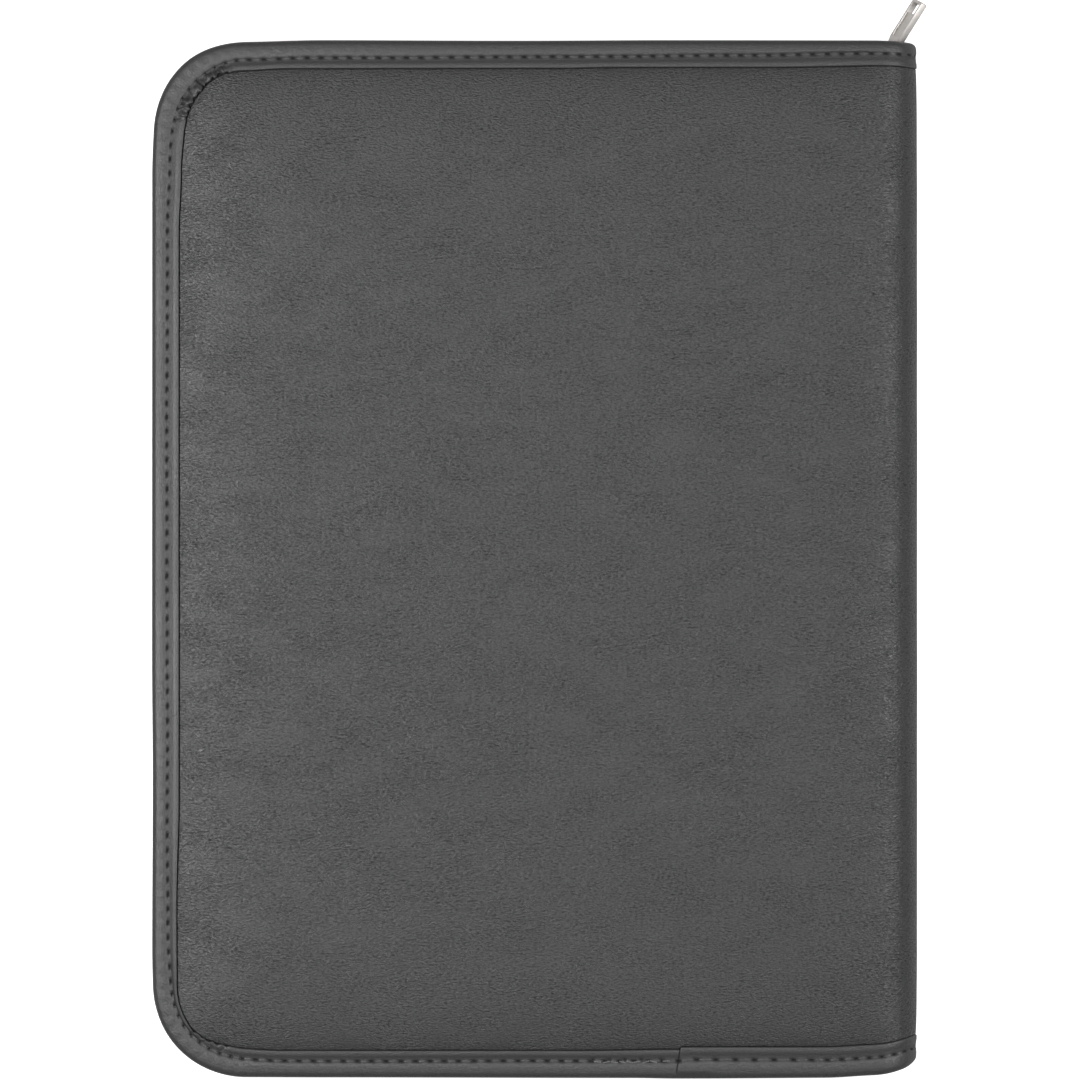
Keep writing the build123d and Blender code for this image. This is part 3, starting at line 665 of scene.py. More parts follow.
def cover_zip_tape(name, side):
    """Zip tape round the three open edges of a cover, with the two tails that run on past it."""
    section = tape_section()
    t = grid_line((COVER_START, 2.0), (STRAIGHT, 1.2), (STRAIGHT + ARC, 3.0),
                  (EDGE_LENGTH - STRAIGHT - ARC, 1.2), (EDGE_LENGTH - STRAIGHT, 2.0),
                  (EDGE_LENGTH - COVER_START, 0))
    s, y = edge_place(t[:, None], section[None, :, 0])
    z = np.broadcast_to(height_at(section[:, 1], side), s.shape)
    points = [np.stack([s, y, z], axis=-1).reshape(-1, 3)]
    places = [swept_map(t, section)]
    faces = swept_faces(*s.shape)
    tail_x = np.linspace(SPINE_X, TAIL_END, TAIL_STEPS)
    low = MIDDLE - np.sqrt(TAIL_RADIUS ** 2 - (tail_x - SPINE_X) ** 2)
    high = np.full_like(low, TAPE_EDGE)
    corners = [(-TAPE_HALF, low), (TAPE_HALF, low), (TAPE_HALF, high), (-TAPE_HALF, high)]
    tail = swept_faces(len(tail_x), len(corners))
    for end in [-1, 1]:
        wall = end * (EDGE_Y - TAPE_INSET)
        ring = np.stack([np.column_stack([tail_x, np.full_like(tail_x, wall + shift), height_at(depth, side)])
                         for shift, depth in corners], axis=1)
        start = sum(len(block) for block in points)
        faces += [[start + corner for corner in face[::-1]] for face in tail]
        points.append(ring.reshape(-1, 3))
        places.append(points[-1][:, [0, 2]])
    return make_piece(name, np.concatenate(points), faces, TAPE_MATERIAL, uv=np.concatenate(places),
                      crease=40)


for name, side in [("back", 1), ("front", -1)]:
    tape = cover_zip_tape(name + "_tape", side)
    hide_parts(name + "_zip_tape")
    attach(tape, name + "_cover")


# Zip teeth: moulded plastic teeth clamped on the thick edges of the tapes, one row for each cover.
# The rows are set half a pitch apart, so that they mesh when the slider has closed them.
TOOTH_PITCH = 4.0
TOOTH_ROOT = 2.4
TOOTH_TIP = 1.3
TOOTH_THICKNESS = 2.4
TOOTH_REACH = 0.95
TOOTH_GRIP = 0.25
TOOTH_EDGE = 0.28
TEETH_COLOR = (0.035, 0.035, 0.037, 1.0)
TEETH_GRIME = 700.0
TEETH_START_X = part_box("slider_body")[0].x / MM + TOOTH_PITCH
TEETH_END_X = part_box("front_zip_stops")[0].x / MM - TOOTH_PITCH / 2


def new_tree(name, inputs):
    """An empty tree for geometry. Inputs pairs each socket's name with its kind."""
    tree = bpy.data.node_groups.new(name, "GeometryNodeTree")
    tree.interface.new_socket(name="Geometry", in_out="INPUT", socket_type="NodeSocketGeometry")
    tree.interface.new_socket(name="Geometry", in_out="OUTPUT", socket_type="NodeSocketGeometry")
    for socket, kind in inputs.items():
        tree.interface.new_socket(name=socket, in_out="INPUT", socket_type="NodeSocket" + kind)
    return tree, add_node(tree, "NodeGroupInput").outputs, add_node(tree, "NodeGroupOutput").inputs


def set_along(tree):
    """The turn that sets an instance's X along the point's run and its Z up from what it is fixed to."""
    along, up = (add_node(tree, "GeometryNodeInputNamedAttribute", {"Name": mark}, data_type="FLOAT_VECTOR")
                 for mark in ("along", "up"))
    first = add_node(tree, "FunctionNodeAlignRotationToVector", {"Vector": along.outputs[0]}, axis="X")
    upright = {"Rotation": first.outputs[0], "Vector": up.outputs[0]}
    return add_node(tree, "FunctionNodeAlignRotationToVector", upright, axis="Z", pivot_axis="X").outputs[0]


def close_tree(tree, given, shape, turn, material, made):
    """Ends a tree: the shape on each point of the run, as real geometry, smooth, in its material."""
    placed = {"Points": given["Geometry"], "Instance": shape, "Rotation": turn}
    row = add_node(tree, "GeometryNodeInstanceOnPoints", placed)
    real = add_node(tree, "GeometryNodeRealizeInstances", {0: row.outputs[0]})
    smooth = add_node(tree, "GeometryNodeSetShadeSmooth", {0: real.outputs[0]})
    dressed = add_node(tree, "GeometryNodeSetMaterial", {0: smooth.outputs[0], "Material": given[material]})
    tree.links.new(dressed.outputs[0], made[0])


def tooth_row_tree():
    """A tooth on each point of a run."""
    tree, given, made = new_tree("tooth_row", {"Tooth": "Object", "Plastic": "Material"})
    shape = add_node(tree, "GeometryNodeObjectInfo", {"Object": given["Tooth"]})
    close_tree(tree, given, shape.outputs["Geometry"], set_along(tree), "Plastic", made)
    return tree


def point_run(name, points, along, up):
    """Loose points in millimetres, each with its direction along the run and up from what it is fixed to."""
    mesh = bpy.data.meshes.new(name)
    mesh.from_pydata((np.asarray(points) * MM).tolist(), [], [])
    for mark, vectors in [("along", along), ("up", up)]:
        layer = mesh.attributes.new(mark, "FLOAT_VECTOR", "POINT")
        layer.data.foreach_set("vector", np.asarray(vectors, dtype=np.float32).ravel())
    return place_object(name, mesh)


def level_run(name, place, along, height, up):
    """A run of points that all lie at one height, with up as 1 or -1."""
    count = len(place)
    return point_run(name, np.column_stack([place, np.full(count, height)]),
                     np.column_stack([along, np.zeros(count)]), np.tile([0, 0, up], (count, 1)))


def settle(piece, modifier):
    """Makes what a modifier gives the plain mesh of its piece, and removes the modifier."""
    grown = piece.evaluated_get(bpy.context.evaluated_depsgraph_get())
    mesh = bpy.data.meshes.new_from_object(grown)
    piece.modifiers.remove(modifier)
    before = piece.data
    piece.data = mesh
    bpy.data.meshes.remove(before)
    mesh.name = piece.name
    return piece


def grow(run, tree, values):
    """Turns a run of points into the plain mesh that a tree makes on it."""
    modifier = run.modifiers.new(tree.name, "NODES")
    modifier.node_group = tree
    for socket in tree.interface.items_tree:
        if socket.item_type == "SOCKET" and socket.in_out == "INPUT" and socket.name in values:
            modifier[socket.identifier] = values[socket.name]
    return settle(run, modifier)


def moulded_tooth():
    """One tooth, narrower at its tip, with rounded edges, standing on the origin."""
    height = MIDDLE + TOOTH_REACH - TAPE_EDGE
    corners = [(-1, -1), (1, -1), (1, 1), (-1, 1)]
    solid = bmesh.new()
    root, tip = ([solid.verts.new((x * half * MM, y * TOOTH_THICKNESS / 2 * MM, z * MM)) for x, y in corners]
                 for half, z in [(TOOTH_ROOT / 2, -TOOTH_GRIP), (TOOTH_TIP / 2, height)])
    for k in range(len(corners)):
        after = (k + 1) % len(corners)
        solid.faces.new([root[k], root[after], tip[after], tip[k]])
    solid.faces.new(root[::-1])
    solid.faces.new(tip)
    bmesh.ops.bevel(solid, geom=solid.edges[:], offset=TOOTH_EDGE * MM, segments=1, profile=0.6,
                    affect="EDGES")
    bmesh.ops.recalc_face_normals(solid, faces=solid.faces)
    mesh = bpy.data.meshes.new("tooth")
    solid.to_mesh(mesh)
    solid.free()
    return place_object("tooth", mesh)


def tooth_plastic():
    """Dull moulded plastic, worn lighter in patches."""
    material, tree, shader = new_material("zip_teeth", Specular_IOR_Level=0.45)
    grime = noise(tree, object_place(tree), TEETH_GRIME, 3.0)
    tone = calc(tree, "MULTIPLY_ADD", grime, 0.7, 0.65)
    tree.links.new(scaled(tree, TEETH_COLOR[:3], tone), shader.inputs["Base Color"])
    tree.links.new(calc(tree, "MULTIPLY_ADD", grime, 0.3, 0.25), shader.inputs["Roughness"])
    return material


def tooth_places(first):
    """Places and directions along the path of the teeth, which starts at the slider, in millimetres."""
    arc = ARC * ((CORNER - TAPE_INSET) / CORNER)
    head = TEETH_START_X - FORE_X - CORNER
    foot = TEETH_END_X - FORE_X - CORNER
    stops = np.cumsum([0, head, arc, 2 * (EDGE_Y - CORNER), arc, foot])
    upper = EDGE_LENGTH - STRAIGHT
    edge = [upper + head, upper, upper - ARC, STRAIGHT + ARC, STRAIGHT, STRAIGHT - foot]
    run = np.arange(first, stops[-1] - TOOTH_ROOT / 2, TOOTH_PITCH)
    t = np.interp(run, stops, edge)
    ahead, place, behind = (np.stack(edge_place(t + step, TAPE_INSET), axis=-1) for step in (-0.1, 0.0, 0.1))
    along = ahead - behind
    return place, along / np.linalg.norm(along, axis=1)[:, None]


TOOTH_ROW = tooth_row_tree()
TOOTH_PLASTIC = tooth_plastic()
tooth = moulded_tooth()
for name, side, first in [("back", 1, TOOTH_ROOT / 2 + TOOTH_PITCH / 2), ("front", -1, TOOTH_ROOT / 2)]:
    place, along = tooth_places(first)
    teeth = level_run(name + "_teeth", place, along, height_at(TAPE_EDGE, side), -side)
    grow(teeth, TOOTH_ROW, {"Tooth": tooth, "Plastic": TOOTH_PLASTIC})
    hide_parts(name + "_zip_teeth")
    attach(teeth, name + "_cover")
bpy.data.objects.remove(tooth)


# Zip stops, slider and pull: nickel-plated metal. The stops are clips pressed onto the ends of the tapes,
# the slider is die cast with an arch on its back, and the pull hangs from the arch by an eye.
METAL_EDGE = 0.14
WELD_DISTANCE = 0.002
FLAT_ANGLE = 2.0
BEVEL_ANGLE = 40.0
METAL_CREASE = 35.0
NICKEL_COLOR = (0.72, 0.69, 0.66, 1.0)
SLIDER_DULLNESS = 0.22
PULL_DULLNESS = 0.4
PLATING_PATCHES = 500.0
PLATING_SCRATCHES = (900.0, 900.0, 5000.0)


def nickel_wear():
    """Fine scratches and dull patches of handled plating."""
    group, given, made = new_group("nickel_wear", {"Vector": None, "Color": NICKEL_COLOR, "Dullness": 0.3},
                                   ["Color", "Roughness"])
    patches = noise(group, given["Vector"], PLATING_PATCHES, 4.0)
    brushed = noise(group, given["Vector"], PLATING_SCRATCHES, 2.0)
    tone = calc(group, "MULTIPLY_ADD", patches, 0.3, 0.85)
    group.links.new(scaled(group, given["Color"], tone), made["Color"])
    group.links.new(calc(group, "MULTIPLY_ADD", brushed, 0.18, given["Dullness"]), made["Roughness"])
    return group


NICKEL_WEAR = nickel_wear()


def nickel_material(name, dullness):
    """Satin nickel plate."""
    material, tree, shader = new_material(name, Metallic=1.0)
    plate = {"Vector": object_place(tree), "Color": NICKEL_COLOR, "Dullness": dullness}
    finish_group(tree, NICKEL_WEAR, plate, shader)
    return material


def rounded_copy(name, node, material, width):
    """A copy of a solid of the frame with its triangles joined and its edges rounded."""
    solid = bmesh.new()
    solid.from_mesh(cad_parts[node].data)
    bmesh.ops.remove_doubles(solid, verts=solid.verts, dist=WELD_DISTANCE * MM)
    bmesh.ops.dissolve_limit(solid, angle_limit=math.radians(FLAT_ANGLE), verts=solid.verts,
                             edges=solid.edges)
    mesh = bpy.data.meshes.new(name)
    solid.to_mesh(mesh)
    solid.free()
    mesh.materials.append(material)
    piece = place_object(name, mesh)
    bevel = piece.modifiers.new("rounding", "BEVEL")
    bevel.width = width * MM
    bevel.segments = 3
    bevel.limit_method = "ANGLE"
    bevel.angle_limit = math.radians(BEVEL_ANGLE)
    settle(piece, bevel)
    piece.data.shade_smooth()
    piece.data.set_sharp_from_angle(angle=math.radians(METAL_CREASE))
    return piece


NICKEL = nickel_material("slider_nickel", SLIDER_DULLNESS)
PULL_NICKEL = nickel_material("pull_nickel", PULL_DULLNESS)
for name, node, body, material in [("back_stops", "back_zip_stops", "back_cover", NICKEL),
                                   ("front_stops", "front_zip_stops", "front_cover", NICKEL),
                                   ("slider", "slider_body", "zip_slider", NICKEL),
                                   ("pull", "pull_tab", "zip_pull", PULL_NICKEL)]:
    metal = rounded_copy(name, node, material, METAL_EDGE)
    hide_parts(node)
    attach(metal, body)


# Bindings: a strip of smoother leatherette folded over the edge of each cover and sewn through with one line.
# Its hem is turned under. It puckers round the corners, and its ends overlap on the back cover's lower edge.
# Shade in the binding's needle slits, stitch groove, folds, seam and along the overlap's cut edge is painted
# into its colour.
NOSE = 1.95
NOSE_FACE_DEPTH = 0.32
NOSE_STEPS = 11
BINDING_TAPE = 0.8
LEG_END = 7.05
COVER_LEG_DEPTH = 4.3
SPINE_LEG_DEPTH = 3.5
LEG_STITCH_INSET = 4.65
FACE_START = 2.8
STITCH_DEPTH = 0.57
HEM_GAP = 0.28
USUAL_HEM_INSET = 8.5
END_ROUNDING = 1.4
OVERLAP_SLANT = 1.6
OVERLAP_LENGTH = 14.0
OVERLAP_RISE = 0.4
OVERLAP_CUT = 0.2
CUT_SHADE = 0.95
STITCH_PITCH = 4.75
FIRST_HOLE = 2.0
LAST_GAP = 5.0
LONGER_STITCH = 1.5
SHORTER_STITCH = 0.7
SLIT_HALF = 1.0
SLIT_WIDTH = 0.36
SLIT_DEPTH = 0.45
SLIT_SLANT = 0.4
BINDING_COLOR = (0.042, 0.042, 0.043, 1.0)
BINDING_RELIEF = 0.00005
THREAD_COLOR = (0.05, 0.05, 0.051, 1.0)
LOOSE_THREAD_COLOR = (0.16, 0.16, 0.162, 1.0)
THREAD_RADIUS = 0.24
THREAD_LENGTH = 3.0
THREAD_ARCH = 0.12
THREAD_SINK = 0.44
THREAD_RELIEF = 0.00006
THREAD_TWIST = 900.0
THREAD_FUZZ = 2500.0
LOOSE_THREAD_RADIUS = 0.17
LOOSE_THREAD_LENGTH = 2.3
LOOSE_THREAD_RISE = 0.14
HOLE_PULL = 0.04
SPINE_SMOOTHING = 0.55
GROOVE_SHADE = 0.22

# Waves along the edge by which the guiding hand drifted, and the seeds of what is left to chance.
DRIFT_LENGTHS = [130.0, 71.0, 43.0, 29.0, 17.0]
DRIFT_SEED = 21
STITCH_SEED = 41
PLEAT_SEED = 51
RESTITCH_SEED = 63
LOOSE_DRIFT_SEED = 77
STITCH_DRIFT = 0.14
LOOSE_DRIFT = 0.9

# Inset of the stitch line, and how far the back cover's edge stands out, by the distance along the edge.
STITCH_LINE = {1: [(0, 5.6), (10, 6.0), (80, 6.1), (86, 5.6), (215, 5.6), (234, 6.6), (262, 6.1), (292, 4.9),
                   (340, 4.65), (520, 4.65), (545, 5.5), (562, 6.6), (580, 7.0), (600, 6.4), (625, 5.7),
                   (660, 5.65), (720, 5.35), (760, 4.95), (800, 4.4), (EDGE_LENGTH, 4.3)],
               -1: [(0, 5.6), (60, 4.8), (EDGE_LENGTH - 60, 4.8), (EDGE_LENGTH, 4.3)]}
BACK_EDGE_SWAY = [(0, 0.0), (24, -0.1), (85, 0.2), (100, 0.0), (200, -0.2), (231, -0.3), (262, 0.1),
                  (286, 0.6), (342, 0.4), (382, 0.65), (540, 0.6), (560, 0.0), (580, 0.15), (598, -0.5),
                  (626, 0.1), (690, -0.1), (740, 0.1), (EDGE_LENGTH, 0.0)]

# Gathered stretches at the corners: start, end, depth of the folds and share of the way to the stitches.
PLEATS = {1: [(557, 597, 0.9, 1.0), (232, 260, 0.4, 0.6)], -1: [(553, 602, 0.25, 0.8), (226, 275, 0.25, 0.8)]}
PLEAT_EASE = 8
PLEAT_SWELL = 0.25
PLEAT_LUMPS = 7
HEM_PUSH = 1.1
FOLD_SHADE = 0.75


def binding_section():
    """Round the folded strip: inner leg and nose, then face with its stitch groove and hem, then underside.
    Each point has a fixed inset, its shares of the stitch line's and of the hem's inset, and a depth.
    The second result says which points lie on the outer face."""
    leg = COVER_LEG_DEPTH
    leg_points = [(6.85, leg - BINDING_TAPE), (LEG_END, leg - 0.6), (LEG_END, leg - 0.2), (6.85, leg),
                  (5.4, leg), (4.95, leg - 0.08), (LEG_STITCH_INSET, leg - 0.2), (4.35, leg - 0.08),
                  (3.9, leg)]
    inner = [(inset, 0, 0, depth) for inset, depth in leg_points]
    radius = (leg - NOSE_FACE_DEPTH) / 2
    for turn in np.linspace(0, math.pi, NOSE_STEPS):
        inner.append((NOSE - NOSE * math.sin(turn), 0, 0, leg - radius + radius * math.cos(turn)))
    outer = []
    for share, depth in [(0, 0.24), (0.33, 0.22), (0.6, 0.26)]:
        outer.append((FACE_START * (1 - share), share, 0, depth))
    for offset, dip in [(-0.6, -0.21), (-0.4, -0.14), (-0.22, -0.07), (0, 0), (0.16, 0.03), (0.34, 0.04),
                        (0.55, 0.03)]:
        outer.append((offset, 1, 0, STITCH_DEPTH + dip))
    for share, depth in [(0.3, 0.55), (0.4, 0.45), (0.48, 0.35), (0.55, 0.265), (0.61, 0.2), (0.67, 0.155),
                         (0.73, 0.13), (0.8, 0.118), (0.88, 0.118), (0.94, 0.14), (0.98, 0.25)]:
        outer.append((0, 1 - share, share, depth))
    for inward, depth in [(0.0, 0.62), (0.02, 1.05), (0.14, 1.5)]:
        outer.append((-inward, 0, 1, depth))
    under = [(7.0, 1.5), (4.6, 1.4), (2.2, 1.27), (2.0, 1.5), (2.0, leg - BINDING_TAPE - 0.2),
             (2.2, leg - BINDING_TAPE), (4.6, leg - BINDING_TAPE)]
    section = np.array(inner + outer + [(inset, 0, 0, depth) for inset, depth in under])
    outside = np.zeros(len(section), dtype=bool)
    outside[len(inner) - 1:-len(under)] = True
    return section, outside


def hat(value, start, crest_start, crest_end, end):
    """Rises smoothly from start to its crest and falls again to end."""
    return ease(value, start, crest_start) * (1 - ease(value, crest_end, end))


def wander(t, seed, amount):
    """Slow drift of a hand-guided line along the edge."""
    draw = np.random.default_rng(seed)
    total = np.zeros_like(t)
    for length in DRIFT_LENGTHS:
        total += np.sin(t * 2 * math.pi / length + draw.uniform(0, 2 * math.pi)) * length / sum(DRIFT_LENGTHS)
    return amount * total


def stitch_inset(t, side):
    """Inset of the stitch line."""
    return drawn_line(t, STITCH_LINE[side]) + wander(t, DRIFT_SEED + side, STITCH_DRIFT)


def stitch_places(side):
    """Distances along the edge of the needle slits. The stitches are longer beside the overlap."""
    draw = np.random.default_rng(STITCH_SEED + side)
    places = [FIRST_HOLE]
    while places[-1] < EDGE_LENGTH - LAST_GAP:
        beside = float(hat(places[-1], 32, 44, OVERLAP_RUN - 8, OVERLAP_RUN + 4)) if side > 0 else 0
        shorter = SHORTER_STITCH * float(1 - ease(places[-1], 10, 30))
        places.append(places[-1] + STITCH_PITCH + LONGER_STITCH * beside - shorter + draw.normal(0, 0.15))
    return np.array(places)


def restitched():
    """Distances along the edge of the stitches that were sewn a second time beside the overlap."""
    draw = np.random.default_rng(RESTITCH_SEED)
    return OVERLAP_RUN + 1.5 + np.cumsum(draw.uniform(1.9, 4.2, 9))


def needle_slits(t, from_stitch, side):
    """Where the needle cut the strip, from 0 to 1, with the holes of the second sewing."""
    slit = np.zeros_like(from_stitch)
    for place in stitch_places(side):
        slit = np.maximum(slit, np.exp(-((t - place - SLIT_SLANT * from_stitch) / SLIT_HALF) ** 4))
    slit = slit * np.exp(-(from_stitch / SLIT_WIDTH) ** 4)
    for place in restitched()[::2] if side > 0 else []:
        hole = np.exp(-((t - place - 1.6) / 0.7) ** 4) * np.exp(-((from_stitch - 0.5) / SLIT_WIDTH) ** 2)
        slit = np.maximum(slit, hole)
    return slit


def gathered(t, start, end):
    """How much of the strip's gathering there is along a corner."""
    return hat(t, start, start + PLEAT_EASE, end - PLEAT_EASE, end)


def pleats(t, from_stitch, span, side, seed):
    """Folds that gathered leatherette makes round a corner: creases from the needle holes to the hem."""
    start, end, strength, _ = span
    draw = np.random.default_rng(seed)
    total = np.zeros_like(t)
    for place in stitch_places(side):
        for shift, share in [(0.0, draw.uniform(0.6, 1.0)), (draw.uniform(1.6, 3.2), draw.uniform(0.1, 0.8))]:
            lean = draw.normal(0.1, 0.75)
            width = draw.uniform(0.4, 1.3)
            if start - 4 < place < end:
                middle = place + shift + lean * from_stitch
                total = np.maximum(total, share * np.exp(-np.abs((t - middle) / width) ** 1.6))
    lumps = np.zeros_like(t)
    for _ in range(PLEAT_LUMPS):
        along = draw.uniform(0.6, 1.9)
        across = draw.uniform(-2.2, 2.2)
        lumps += np.sin(t * along + from_stitch * across + draw.uniform(0, 2 * math.pi)) / PLEAT_LUMPS
    return strength * (total + 0.9 * lumps) * gathered(t, start, end)


def leg_lift(s):
    """How much less deep the inner leg lies on the spine than on the cover."""
    return (COVER_LEG_DEPTH - SPINE_LEG_DEPTH) * ease(s, SPINE_X, SPINE_X + 4)


def binding_form(t, section, outside, side):
    """Inset, depth and painted shade of the strip as it is sewn down at distances t along the edge."""
    shape = (len(t), len(section))
    fixed, of_stitch, of_hem, depth = (np.broadcast_to(column, shape) for column in section.T)
    t = np.broadcast_to(t[:, None], shape)
    stitch = stitch_inset(t, side)
    hem = drawn_line(t, SEAM_LINE[side]) - HEM_GAP
    across = fixed + of_stitch * stitch + of_hem * hem
    from_stitch = across - stitch
    from_hem = (hem - across) / np.maximum(hem - stitch, 0.5)
    s_here = edge_place(t, across)[0]
    inset = across
    face = outside * ease(across, 1.0, 2.4)
    depth = depth - leg_lift(s_here) * ease(depth, 1.6, 3.4)

    # The thread pulls the face down at each hole, and the strip lies smoother round the spine.
    slit = needle_slits(t, from_stitch, side)
    near_hole = np.cos((t - FIRST_HOLE) * 2 * math.pi / STITCH_PITCH)
    depth = depth + face * (SLIT_DEPTH * slit + HOLE_PULL * near_hole * hat(across, 1.0, 2.2, 3.4, 5.0))
    smoothed = SPINE_SMOOTHING * ease(s_here, SPINE_X - 12, ROLL_END)
    depth = depth - smoothed * face * np.clip(depth - 0.25, 0, 0.55)
    # Painted shade: the needle slits and the groove beside the stitches are darkened in colour.
    dark = face * np.maximum(slit, GROOVE_SHADE * hat(from_stitch, 0.1, 0.4, 0.9, 2.0))

    # Round the corners the strip is too long for the hem: it folds, swells and pushes the hem about.
    for number, span in enumerate(PLEATS[side]):
        start, end, strength, reach = span
        fold = face * pleats(t, from_stitch, span, side, PLEAT_SEED + number)
        fold = fold * (1 - ease(from_hem, 0.7 * reach, 1.15 * reach))
        swell = PLEAT_SWELL * strength * face
        depth = depth + fold - swell * gathered(t, start, end) * hat(from_hem, 0, 0.1, 0.6 * reach, reach)
        inset = inset - HEM_PUSH * (fold - swell) * ease(of_hem, 0.5, 0.95)
        # Painted shade in the deep creases of the folds, away from the hem.
        dark = np.maximum(dark, FOLD_SHADE * ease(fold, 0.45 * strength, strength) * ease(from_hem, 0.1, 0.6))
    rounding = END_ROUNDING * (t < EDGE_LENGTH / 2) * ease(s_here, SPINE_X + 9, SPINE_X + 20)
    inset = inset + rounding * (1 - np.clip(across / 7, 0, 1))
    # Painted shade on the hem's turned-down wall, where it drops into the seam.
    dark = np.maximum(dark, outside * (of_hem > 0.99) * ease(depth, 0.5, 0.9))

    # On the back cover the edge sways, and one end of the strip lies over the other; the slit along its cut
    # edge gets painted shade.
    if side > 0:
        inset = inset - drawn_line(t, BACK_EDGE_SWAY) * (1 - ease(across, 2, 7))
        past = (OVERLAP_RUN - t) + OVERLAP_SLANT * (1 - across / hem)
        on_top = (t < STRAIGHT) * ease(past, -0.06, 0.1)
        lap = on_top * (1 - ease(past, 0.6 * OVERLAP_LENGTH, OVERLAP_LENGTH))
        depth = depth - OVERLAP_RISE * lap * outside * ease(across, -0.4, 1.0)
        cut = (t < STRAIGHT) * np.exp(-((past + 0.14) / 0.2) ** 2) * face
        depth = depth + OVERLAP_CUT * cut
        dark = np.maximum(dark, CUT_SHADE * cut)
    return inset, depth, dark


BINDING_LEATHERETTE = leatherette("binding_leatherette", BINDING_COLOR, BINDING_RELIEF, Wrinkle=0.3,
                                  Mottle=0.35, Depth=0.4, Gloss=0.44)


def cover_binding(name, side):
    """Binding of a cover and of its half of the spine's two ends."""
    section, outside = binding_section()
    t = grid_line((0, 0.25), (1, 0.55), (OVERLAP_RUN - 2, 0.12), (OVERLAP_RUN + 3, 0.55), (STRAIGHT, 0.35),
                  (STRAIGHT + ARC, 0.55), (EDGE_LENGTH - STRAIGHT - ARC, 0.35),
                  (EDGE_LENGTH - STRAIGHT, 0.55), (EDGE_LENGTH - 1, 0.25), (EDGE_LENGTH, 0))
    inset, depth, dark = binding_form(t, section, outside, side)
    along = np.broadcast_to(t[:, None], inset.shape)
    points = on_cover(*edge_place(along, inset), depth, side).reshape(-1, 3)
    plain = section[:, 0] + section[:, 1] * LEG_STITCH_INSET + section[:, 2] * USUAL_HEM_INSET
    uv = swept_map(t, np.column_stack([plain, section[:, 3]]))
    return make_piece(name, points, swept_faces(*inset.shape), BINDING_LEATHERETTE, uv=uv, crease=75,
                      dark=dark.ravel())


def stitch_tree():
    """A slightly arched thread on each point of a run, each turned a little by chance."""
    tree, given, made = new_tree("stitch_line", {"Stitch Length": "Float", "Thread Radius": "Float",
                                                 "Arch": "Float", "Skew": "Float", "Seed": "Int",
                                                 "Thread": "Material"})
    half = calc(tree, "MULTIPLY", given["Stitch Length"], 0.5)
    start = add_node(tree, "ShaderNodeCombineXYZ", {0: calc(tree, "MULTIPLY", half, -1.0)}).outputs[0]
    crest = add_node(tree, "ShaderNodeCombineXYZ", {2: given["Arch"]}).outputs[0]
    end = add_node(tree, "ShaderNodeCombineXYZ", {0: half}).outputs[0]
    bow = add_node(tree, "GeometryNodeCurveQuadraticBezier",
                   {"Resolution": 5, "Start": start, "Middle": crest, "End": end}).outputs[0]
    round_thread = add_node(tree, "GeometryNodeCurvePrimitiveCircle",
                            {"Resolution": 6, "Radius": given["Thread Radius"]}).outputs[0]
    strand = add_node(tree, "GeometryNodeCurveToMesh",
                      {"Curve": bow, "Profile Curve": round_thread, "Fill Caps": True}).outputs[0]
    chance = add_node(tree, "FunctionNodeRandomValue",
                      {2: calc(tree, "MULTIPLY", given["Skew"], -1.0), 3: given["Skew"],
                       "Seed": given["Seed"]}, data_type="FLOAT").outputs[1]
    skew = add_node(tree, "FunctionNodeAxisAngleToRotation", {"Axis": (0.0, 0.0, 1.0), "Angle": chance})
    turn = add_node(tree, "FunctionNodeRotateRotation", {0: set_along(tree), 1: skew.outputs[0]},
                    rotation_space="LOCAL")
    close_tree(tree, given, strand, turn.outputs[0], "Thread", made)
    return tree


STITCHING = stitch_tree()


def sew(run, length, radius, arch, skew, seed, thread):
    """Turns a run of points into threads, with their sizes in millimetres."""
    return grow(run, STITCHING, {"Stitch Length": length * MM, "Thread Radius": radius * MM,
                                 "Arch": arch * MM, "Skew": skew, "Seed": seed, "Thread": thread})


def thread_material(name, color):
    """Twisted thread, a little fuzzy."""
    material, tree, shader = new_material(name, Roughness=0.7, Sheen_Weight=0.3)
    place = object_place(tree)
    twist = add_node(tree, "ShaderNodeTexWave", {"Vector": place, "Scale": THREAD_TWIST, "Distortion": 2.0},
                     bands_direction="DIAGONAL").outputs["Fac"]
    fuzz = calc(tree, "MULTIPLY_ADD", noise(tree, place, THREAD_FUZZ, 2.0), 0.4, 0.6)
    tone = calc(tree, "MULTIPLY_ADD", twist, 0.4, fuzz)
    tree.links.new(scaled(tree, color[:3], tone), shader.inputs["Base Color"])
    bump = add_node(tree, "ShaderNodeBump", {"Height": twist, "Distance": THREAD_RELIEF})
    tree.links.new(bump.outputs[0], shader.inputs["Normal"])
    return material


BINDING_THREAD = thread_material("binding_thread", THREAD_COLOR)
LOOSE_THREAD = thread_material("loose_thread", LOOSE_THREAD_COLOR)


def sewn_run(name, t, inset, depth, side, face):
    """Points on the strip for threads: face is -1 on the outside of the cover and 1 on its inside."""
    before, place, after = (on_cover(*edge_place(t + step, inset), depth, side) for step in (-0.2, 0.0, 0.2))
    up = on_cover(*edge_place(t, inset), depth + face, side) - place
    return point_run(name, place, after - before, up)


